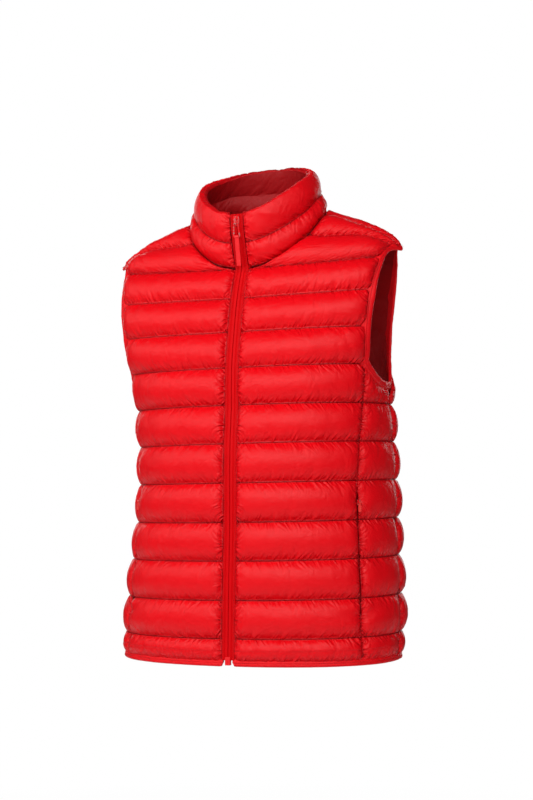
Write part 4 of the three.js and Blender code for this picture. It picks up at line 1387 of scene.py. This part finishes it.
def cloth_material(
    name,
    colour,
    roughness=0.37,
    crinkle=0.0002,
    wrinkles=45.0,
    weave=0.00006,
    threads=2500.0,
    specular=0.2,
    deeper=0.86,
    gathers=0.0,
):
    """Woven cloth with a satin finish; where gathers are given, painted shade darkens its colour in the creases
    beside its stitch lines and seams.
    """
    material = bpy.data.materials.new(name)
    material.use_nodes = True
    nodes = Nodes(material.node_tree)
    where = nodes.add("ShaderNodeTexCoord").outputs["UV"]
    colour = (*colour, 1.0)
    dye = placed_group(
        nodes,
        fade_group(),
        {
            "Vector": where,
            "Colour": colour,
            "Deeper": tuple(c * deeper for c in colour[:3]) + (1.0,),
            "Amount": 0.5,
        },
    )
    dye_and_painted_shade = dye.outputs["Colour"]
    # Painted shade: within about a millimetre of a stitch line or seam the colour is mixed towards 0.45 of itself,
    # standing in for the shade in the crease.
    if gathers:
        for name in ("beside_line", "beside_seam"):
            place = nodes.add("ShaderNodeAttribute", attribute_name=name)
            split = nodes.add("ShaderNodeSeparateXYZ", {0: place.outputs["Vector"]})
            painted_crease_shade = nodes.add("ShaderNodeMapRange", {0: split.outputs[1], 1: 0.1, 2: 1.3, 3: 0.75, 4: 0.0})
            mix = nodes.add("ShaderNodeMix", data_type="RGBA")
            nodes.tree.links.new(painted_crease_shade.outputs[0], mix.inputs[0])
            nodes.tree.links.new(dye_and_painted_shade, mix.inputs[6])
            mix.inputs[7].default_value = tuple(c * 0.45 for c in colour[:3]) + (1.0,)
            dye_and_painted_shade = mix.outputs[2]
    folds = placed_group(nodes, crinkle_group(), {"Vector": where, "Wrinkles per metre": wrinkles})
    threads = placed_group(nodes, weave_group(), {"Vector": where, "Threads per metre": threads})
    rough = nodes.math("MULTIPLY_ADD", folds.outputs["Mask"], 0.12, roughness - 0.06)
    shader = nodes.add(
        "ShaderNodeBsdfPrincipled",
        {
            "Base Color": dye_and_painted_shade,
            "Roughness": rough,
            "Specular IOR Level": specular,
        },
    )
    soft = nodes.add(
        "ShaderNodeBump", {"Strength": 1.0, "Distance": crinkle, "Height": folds.outputs["Height"]}
    )
    fine = nodes.add(
        "ShaderNodeBump",
        {
            "Strength": 1.0,
            "Distance": weave,
            "Height": threads.outputs["Height"],
            "Normal": soft.outputs[0],
        },
    )
    last = fine
    if gathers:
        for name, spacing, reach, depth in (
            ("beside_line", 7.6, 6.5, gathers),
            ("beside_seam", 6.6, 11.0, 1.4 * gathers),
        ):
            place = nodes.add("ShaderNodeAttribute", attribute_name=name)
            strokes = placed_group(
                nodes,
                gather_group(),
                {"Place": place.outputs["Vector"], "Spacing": spacing, "Reach": reach},
            )
            last = nodes.add(
                "ShaderNodeBump",
                {
                    "Strength": 1.0,
                    "Distance": depth,
                    "Height": strokes.outputs["Height"],
                    "Normal": last.outputs[0],
                },
            )
    nodes.tree.links.new(last.outputs[0], shader.inputs["Normal"])
    out = nodes.add("ShaderNodeOutputMaterial")
    nodes.tree.links.new(shader.outputs[0], out.inputs[0])
    return material


def grain_group():
    """Fine grain of moulded or painted pieces, with a mask of their worn places."""
    if "Fine grain" in bpy.data.node_groups:
        return bpy.data.node_groups["Fine grain"]
    tree, nodes, given, result = group_tree(
        "Fine grain",
        [
            ("Vector", "NodeSocketVector", None),
            ("Grains per metre", "NodeSocketFloat", 3000.0),
            ("Wear", "NodeSocketFloat", 0.4),
        ],
        [("Height", "NodeSocketFloat"), ("Worn", "NodeSocketFloat")],
    )
    fine = nodes.add(
        "ShaderNodeTexNoise",
        {"Vector": given.outputs["Vector"], "Scale": given.outputs["Grains per metre"], "Detail": 3.0},
    )
    broad = nodes.add(
        "ShaderNodeTexNoise", {"Vector": given.outputs["Vector"], "Scale": 420.0, "Detail": 5.0}
    )
    worn = nodes.math("SUBTRACT", nodes.math("ADD", broad.outputs["Fac"], given.outputs["Wear"]), 0.98)
    worn = nodes.math("MAXIMUM", nodes.math("MINIMUM", nodes.math("MULTIPLY", worn, 9.0), 1.0), 0.0)
    nodes.tree.links.new(fine.outputs["Fac"], result.inputs["Height"])
    nodes.tree.links.new(worn, result.inputs["Worn"])
    return tree


def hard_material(name, colour, worn_colour, roughness, wear, metallic, grain):
    """A smooth hard surface: its colour, and the colour under it where it has worn."""
    material = bpy.data.materials.new(name)
    material.use_nodes = True
    nodes = Nodes(material.node_tree)
    where = nodes.add("ShaderNodeTexCoord").outputs["Object"]
    surface = placed_group(nodes, grain_group(), {"Vector": where, "Wear": wear})
    mix = nodes.add("ShaderNodeMix", data_type="RGBA")
    nodes.tree.links.new(surface.outputs["Worn"], mix.inputs[0])
    mix.inputs[6].default_value = (*colour, 1.0)
    mix.inputs[7].default_value = (*worn_colour, 1.0)
    rough = nodes.math("MULTIPLY_ADD", surface.outputs["Height"], 0.2, roughness - 0.1)
    metal = nodes.math("MULTIPLY", surface.outputs["Worn"], metallic)
    shader = nodes.add(
        "ShaderNodeBsdfPrincipled",
        {"Base Color": mix.outputs[2], "Roughness": rough, "Metallic": metal},
    )
    bump = nodes.add(
        "ShaderNodeBump", {"Strength": 1.0, "Distance": grain, "Height": surface.outputs["Height"]}
    )
    nodes.tree.links.new(bump.outputs[0], shader.inputs["Normal"])
    out = nodes.add("ShaderNodeOutputMaterial")
    nodes.tree.links.new(shader.outputs[0], out.inputs[0])
    return material


def moulded_material(name, colour, roughness):
    return hard_material(name, colour, [min(1, c + 0.12) for c in colour], roughness, 0.35, 0.0, 0.00003)


def enamel_material(name, colour, metal):
    return hard_material(name, colour, metal, 0.3, 0.47, 0.9, 0.00001)


def thread_material(colour):
    """Twisted sewing thread, painted far darker than the cloth as painted shade in the stitch grooves."""
    # Painted shade: the thread's colour is a fifth of the cloth's and its worn colour darker still, so that each
    # stitch line reads as a dark groove.
    material = hard_material(
        "Sewing thread", [c * 0.2 for c in colour], [c * 0.15 for c in colour], 0.9, 0.5, 0.0, 0.00004
    )
    return material


class VEST_OT_panels(bpy.types.Operator):
    """Makes the quilted fronts, sides and back"""

    bl_idname = "vest.panels"
    bl_label = "Quilted Panels"

    def execute(self, context):
        sizes, colours = settings()
        material = cloth_material("Outer cloth", colours.cloth, gathers=0.0028)
        for name, cloth, points in panel_pieces(sizes, sizes.columns, sizes.steps):
            points = settled(cloth, points, sizes) - cloth.normals * cloth.fold[..., None]
            obj = sheet_object(name + "_quilted", points, cloth)
            dress(obj, material, name)
        return {"FINISHED"}


class VEST_OT_lining(bpy.types.Operator):
    """Makes the linings of the fronts, sides and back"""

    bl_idname = "vest.lining"
    bl_label = "Linings"

    def execute(self, context):
        sizes, colours = settings()
        material = cloth_material("Lining cloth", colours.lining, roughness=0.5, wrinkles=70.0)
        cloths = [("back_lining", back_cloth(130, 10)[0])]
        for name, side in SIDES:
            cloths.append(("front_lining_" + name, front_cloth(side, 60, 10)))
            cloths.append(("side_lining_" + name, side_cloth(side, 26, 10)))
        for k, (name, cloth) in enumerate(cloths):
            near = np.minimum(cloth.below, cloth.above)
            sag = 1.6 * crest(cloth.share) + 0.6 * noise(cloth.first / 24, cloth.up / 16, 500 + k)
            depth = WALL + sag * (1 - np.exp(-near / 5))
            depth = depth - 0.7 * puckers(cloth, sizes, 520 + 10 * k)
            edge = np.minimum(cloth.first, cloth.last)
            depth = WALL + (depth - WALL) * (1 - np.exp(-edge / 4))
            points = cloth.raised(-depth)
            uv = np.stack([cloth.first, cloth.up], -1)
            faces = grid_faces(*points.shape[:2], -cloth.outward)
            obj = new_object(name, points, faces, uv)
            dress(obj, material)
        return {"FINISHED"}


class VEST_OT_collar(bpy.types.Operator):
    """Makes the quilted collar and its lining"""

    bl_idname = "vest.collar"
    bl_label = "Collar"

    def execute(self, context):
        sizes, colours = settings()
        cloth, outer, inner = collar_surfaces(sizes, 300, 30)
        points, faces = capped(outer, inner, -1)
        rows = outer.shape[0]
        run = np.concatenate([[0], np.cumsum(np.linalg.norm(np.diff(outer[:, 150], axis=0), axis=1))])
        uv = np.stack(np.broadcast_arrays(cloth.first[:1], run[:rows, None]), -1).reshape(-1, 2)
        ends = np.concatenate([uv[: inner.shape[0]] * 0 + [0, 1], uv[: inner.shape[0]] * 0 + [1, 1]])
        obj = new_object("collar_quilted", points, faces, np.concatenate([uv, ends]))
        near_line(obj, cloth_part(cloth, outer.shape[0]), extra=2 * inner.shape[0])
        material = cloth_material("Collar cloth", colours.cloth, gathers=0.0028)
        dress(obj, material, "collar")
        uv = np.stack([cloth.first[: inner.shape[0]], cloth.up[: inner.shape[0]]], -1)
        faces = grid_faces(*inner.shape[:2], 1)
        obj = new_object("collar_lining_cloth", inner, faces, uv)
        material = cloth_material("Collar lining cloth", colours.lining, roughness=0.5)
        dress(obj, material, "collar_lining")
        return {"FINISHED"}


class VEST_OT_bindings(bpy.types.Operator):
    """Makes the folded bindings of the armholes and the hem"""

    bl_idname = "vest.bindings"
    bl_label = "Bindings"

    def execute(self, context):
        _, colours = settings()
        material = cloth_material("Binding cloth", colours.cloth, roughness=0.46, wrinkles=90.0)
        for k, (name, side) in enumerate(SIDES):
            path, normals = armhole_path(side)
            middle = path.mean(0)
            points, uv = binding_points(path, normals, lambda p: middle - p, 9.0, 600 + k, True)
            count, across = points.shape[:2]
            faces = grid_faces(across, count, 1, loop=True)
            obj = new_object(
                "armhole_binding_folded_" + name, points.transpose(1, 0, 2), faces, uv.transpose(1, 0, 2)
            )
            outward_faces(obj)
            dress(obj, material, "armhole_binding_" + name)
        path, normals = hem_path()
        down = np.array([0.0, 0.0, -1.0])
        points, uv = binding_points(path, normals, lambda p: p * 0 + down, 6.6, 610, False)
        obj = new_object("hem_binding_folded", points, grid_faces(*points.shape[:2]), uv)
        outward_faces(obj)
        dress(obj, material, "hem_binding")
        return {"FINISHED"}


def outward_faces(obj):
    """Turns a strip's faces outward, away from the middle of its section."""
    mesh = bmesh.new()
    mesh.from_mesh(obj.data)
    bmesh.ops.recalc_face_normals(mesh, faces=mesh.faces)
    mesh.to_mesh(obj.data)
    mesh.free()


class VEST_OT_sewing(bpy.types.Operator):
    """Makes the stitches of the quilting, the bindings and the zip"""

    bl_idname = "vest.sewing"
    bl_label = "Stitches"

    def execute(self, context):
        sizes, colours = settings()
        points, faces = [], []
        for name, cloth, raised in panel_pieces(sizes, sizes.columns, sizes.steps):
            last = SIDE_LINE if name.startswith("side") else LAST_LINE - 1
            for k in range(1, last + 1):
                row = k * sizes.steps
                stitch_row(points, faces, raised[row, 2:-2], cloth.normals[row, 2:-2], 3.2, 2.4, 0.17, -0.15)
        cloth, outer, _ = collar_surfaces(sizes, 300, 30)
        stitch_row(points, faces, outer[30, 3:-3], cloth.normals[30, 3:-3], 3.2, 2.4, 0.17, -0.15)
        zip_line = ZipLine()
        for side in (-1, 1):
            path = zip_line.p + zip_line.x * 7.3 * side
            stitch_row(points, faces, path, zip_line.n, 3.0, 2.3, 0.28, 0.22)
        for _, side in SIDES:
            path, normals = armhole_path(side)
            inward = unit(np.cross(np.gradient(path, axis=0), normals))
            inward = inward * np.sign((inward * (path.mean(0) - path)).sum(-1, keepdims=True))
            path = path + inward * 1.7
            stitch_row(points, faces, path, normals, 3.0, 2.3, 0.28, 1.05)
        path, normals = hem_path()
        stitch_row(points, faces, path - [0, 0, 1.7], normals, 3.0, 2.3, 0.28, 1.05)
        obj = new_object("sewing_thread", np.array(points), faces)
        dress(obj, thread_material(colours.cloth))
        return {"FINISHED"}


class VEST_OT_zip(bpy.types.Operator):
    """Makes the zip's tapes, its teeth and its box"""

    bl_idname = "vest.zip"
    bl_label = "Zip"

    def execute(self, context):
        _, colours = settings()
        line = ZipLine()
        material = cloth_material(
            "Zip tape",
            colours.tape,
            roughness=0.6,
            crinkle=0.0001,
            weave=0.00005,
            threads=1400.0,
            specular=0.08,
        )
        for name, side in SIDES:
            seed = 700 + side

            def lift(s, x, seed=seed):
                band = np.clip((np.abs(x) - 5.6) / 1.5, 0, 1)
                lip = np.clip((4.2 - np.abs(x)) / 2, 0, 1)
                pull = -0.35 * creases(s / 4.4, x / 9, seed) * band
                return pull + 0.12 * noise(s / 9, x / 4, seed + 1) * lip

            section = [(side * x, out) for x, out in TAPE_SECTION]
            points, uv = line.strip(section, 0.4, line.length - 0.6, lift)
            obj = new_object(
                "zip_tape_woven_" + name, points, grid_faces(*points.shape[:2], side), uv
            )
            dress(obj, material, "zip_tape_" + name)
        points, faces = [], []
        for k, s in enumerate(np.arange(BOX_ABOVE + 1.5, line.length - SLIDER_BELOW_TOP + 1, 1.45)):
            p, x, t, n = line.at(s)
            way = 1 if k % 2 else -1
            middle = p + n * (CHAIN_FRONT + CHAIN_BACK) / 2 + x * way * 0.35
            prism(points, faces, middle, unit(x + t * 0.12 * way), t, n, 4.6, 0.62, 1.0)
        obj = new_object("zip_teeth", np.array(points), faces, smooth_shading=True)
        dress(obj, moulded_material("Zip teeth", colours.tape, 0.35), "zip_coil")
        box = refined("zip_box", "zip_box_moulded", 0.7, 3)
        dress(box, moulded_material("Zip box", colours.cloth, 0.4), "zip_box")
        return {"FINISHED"}


class VEST_OT_slider(bpy.types.Operator):
    """Makes the zip's slider, its link and its tab"""

    bl_idname = "vest.slider"
    bl_label = "Slider and Pull"

    def execute(self, context):
        _, colours = settings()
        enamel = enamel_material("Red enamel", colours.cloth, colours.metal)
        slider = refined("zip_slider", "zip_slider_enamelled", 0.35)
        dress(slider, enamel, "zip_slider")
        link = refined("zip_pull_link", "zip_pull_link_enamelled", 0.42, 3)
        dress(link, enamel, "zip_pull_link", "pull_link")
        tab = refined("zip_pull_tab", "zip_pull_tab_moulded", 0.55, 3)
        dress(tab, moulded_material("Moulded tab", colours.cloth, 0.42), "zip_pull_tab", "pull_tab")
        return {"FINISHED"}


class VEST_OT_pockets(bpy.types.Operator):
    """Makes the pocket zips, their sliders and their pulls"""

    bl_idname = "vest.pockets"
    bl_label = "Pocket Zips"

    def execute(self, context):
        _, colours = settings()
        tape = cloth_material("Pocket tape", colours.tape, roughness=0.6, crinkle=0.0001, threads=1400.0)
        enamel = enamel_material("Pocket enamel", colours.cloth, colours.metal)
        moulded = moulded_material("Pocket pull", (0.95, 0.05, 0.04), 0.4)
        for name, side in SIDES:
            lines = np.linspace(1.5, 4.9, 120)
            edge, normals = edge_of(
                lambda a, b, side=side: front_points(side, a, b),
                np.array([[0.985, 1]]),
                lines[:, None],
                side,
                column=-1,
            )
            keep = (edge[:, 2] > POCKET_BOTTOM - 3) & (edge[:, 2] < POCKET_TOP + 3)
            edge, normals = edge[keep], normals[keep]
            across = unit(np.cross(np.gradient(edge, axis=0), normals))
            section = np.array([(-6, -3.6), (-2, -3.4), (-1.4, -3.0), (0, -2.75), (1.4, -3.0), (2, -3.4), (6, -3.6)])
            points = (
                edge[:, None]
                + across[:, None] * section[None, :, :1]
                + normals[:, None] * section[None, :, 1:]
            )
            s = lengths(points, 0)
            uv = np.stack([np.broadcast_to(section[:, 0], s.shape), s], -1)
            obj = new_object("pocket_zip_woven_" + name, points, grid_faces(*points.shape[:2]), uv)
            outward = 1 if np.cross(points[0, 1] - points[0, 0], points[1, 0] - points[0, 0]) @ normals[0] > 0 else -1
            if outward < 0:
                obj.data.flip_normals()
            dress(obj, tape, "pocket_zip_" + name)
            slider = refined("pocket_slider_" + name, "pocket_slider_enamelled_" + name, 0.2)
            dress(slider, enamel, "pocket_slider_" + name)
            pull = refined("pocket_pull_" + name, "pocket_pull_moulded_" + name, 0.3, 3)
            dress(pull, moulded, "pocket_pull_" + name, "pocket_pull_" + name)
        return {"FINISHED"}


# Lights, as they stand round the vest: azimuth, elevation, distance, size and watts
LIGHTS = [
    ("key", 24.0, 27.0, 2.9, 2.0, 43.0),
    ("front", -10.0, 26.0, 2.9, 2.0, 28.0),
    ("near right", -40.0, 25.0, 2.9, 2.0, 21.0),
    ("far right", -75.0, 23.0, 2.9, 2.0, 13.0),
    ("left", 58.0, 28.0, 2.9, 2.0, 9.0),
    ("behind left", 184.0, 12.0, 2.9, 2.0, 24.0),
    ("behind right", 212.0, 14.0, 2.9, 2.0, 20.0),
]
CAMERA = (20.0, 2.25, -0.35, 1607.0, 2.49, 0.125)  # azimuth, distance, height, focal px, pitch, yaw


class VEST_OT_stage(bpy.types.Operator):
    """Makes the floor, the lights and the camera"""

    bl_idname = "vest.stage"
    bl_label = "Floor, Lights and Camera"

    def execute(self, context):
        scene = context.scene
        scene.view_settings.view_transform = "Standard"
        radius, floor_z = 30.0, -1.3
        turn = np.linspace(0, 2 * np.pi, 97)[:-1]
        rings = [0.0005, 1.0, 2.0, 4.0, 8.0, radius]
        points = [[(r * math.cos(a), r * math.sin(a), floor_z) for a in turn] for r in rings]
        faces = grid_faces(len(rings), len(turn), -1, loop=True)
        floor = new_object("floor", np.array(points) / MM, faces)
        material = bpy.data.materials.new("Pale floor")
        material.use_nodes = True
        nodes = Nodes(material.node_tree)
        where = nodes.add("ShaderNodeTexCoord").outputs["Object"]
        far = nodes.add("ShaderNodeVectorMath", {0: where}, operation="LENGTH").outputs["Value"]
        fade = nodes.add("ShaderNodeMapRange", {0: far, 1: 0.0, 2: 3.0, 3: 0.6, 4: 1.0}).outputs[0]
        paint = nodes.add(
            "ShaderNodeBsdfPrincipled", {"Base Color": (0.86, 0.86, 0.87, 1.0), "Roughness": 0.7}
        )
        glow = nodes.add("ShaderNodeEmission", {"Color": (1.0, 1.0, 1.0, 1.0), "Strength": 1.0})
        seen = nodes.add("ShaderNodeLightPath").outputs["Is Camera Ray"]
        fade = nodes.math("MULTIPLY", fade, seen)
        mix = nodes.add("ShaderNodeMixShader", {0: fade, 1: paint.outputs[0], 2: glow.outputs[0]})
        out = nodes.add("ShaderNodeOutputMaterial")
        nodes.tree.links.new(mix.outputs[0], out.inputs[0])
        floor.data.materials.append(material)

        world = bpy.data.worlds.new("Studio")
        world.use_nodes = True
        nodes = Nodes(world.node_tree)
        back = nodes.add("ShaderNodeBackground", {0: (1.0, 1.0, 1.0, 1.0), 1: 1.0})
        dim = nodes.add("ShaderNodeBackground", {0: (1.0, 1.0, 1.0, 1.0), 1: 0.05})
        path = nodes.add("ShaderNodeLightPath").outputs["Is Camera Ray"]
        mix = nodes.add("ShaderNodeMixShader", {0: path, 1: dim.outputs[0], 2: back.outputs[0]})
        out = nodes.add("ShaderNodeOutputWorld")
        nodes.tree.links.new(mix.outputs[0], out.inputs[0])
        scene.world = world

        for name, azimuth, elevation, away, size, watts in LIGHTS:
            light = bpy.data.lights.new(name, "AREA")
            light.shape = "DISK"
            light.size = size
            light.energy = watts
            lamp = bpy.data.objects.new(name, light)
            scene.collection.objects.link(lamp)
            a, e = math.radians(azimuth), math.radians(elevation)
            way = Vector((math.sin(a) * math.cos(e), -math.cos(a) * math.cos(e), math.sin(e)))
            lamp.location = Vector((0, 0, -0.3)) + way * away
            lamp.rotation_euler = way.to_track_quat("Z", "Y").to_euler()

        azimuth, away, height, focal, pitch, yaw = CAMERA
        data = bpy.data.cameras.new("camera")
        data.sensor_width = 36.0
        data.lens = focal / 800 * 36.0
        data.clip_end = 100.0
        camera = bpy.data.objects.new("camera", data)
        scene.collection.objects.link(camera)
        a = math.radians(azimuth)
        camera.location = (away * math.sin(a), -away * math.cos(a), height)
        camera.rotation_euler = (math.radians(90 + pitch), 0, a - math.radians(yaw))
        scene.camera = camera
        return {"FINISHED"}


class VEST_PT_panel(bpy.types.Panel):
    """Shows the vest's sizes and colours, and a button for each of its operators"""

    bl_idname = "VEST_PT_panel"
    bl_label = "Puffer Vest"
    bl_space_type = "VIEW_3D"
    bl_region_type = "UI"
    bl_category = "Puffer Vest"

    def draw(self, context):
        for group in (context.scene.vest_sizes, context.scene.vest_colours):
            for name in group.__annotations__:
                self.layout.prop(group, name)
        for operator in OPERATORS:
            self.layout.operator(operator.bl_idname)


OPERATORS = (
    VEST_OT_panels,
    VEST_OT_lining,
    VEST_OT_collar,
    VEST_OT_bindings,
    VEST_OT_sewing,
    VEST_OT_zip,
    VEST_OT_slider,
    VEST_OT_pockets,
    VEST_OT_stage,
)
CLASSES = (VestSizes, VestColours, *OPERATORS, VEST_PT_panel)


def register():
    for cls in CLASSES:
        bpy.utils.register_class(cls)
    bpy.types.Scene.vest_sizes = PointerProperty(type=VestSizes)
    bpy.types.Scene.vest_colours = PointerProperty(type=VestColours)


def unregister():
    del bpy.types.Scene.vest_colours
    del bpy.types.Scene.vest_sizes
    for cls in reversed(CLASSES):
        bpy.utils.unregister_class(cls)


def main():
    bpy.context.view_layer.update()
    register()
    bpy.ops.vest.panels()
    bpy.ops.vest.lining()
    bpy.ops.vest.collar()
    bpy.ops.vest.bindings()
    bpy.ops.vest.sewing()
    bpy.ops.vest.zip()
    bpy.ops.vest.slider()
    bpy.ops.vest.pockets()
    bpy.ops.vest.stage()


if __name__ == "__main__":
    main()
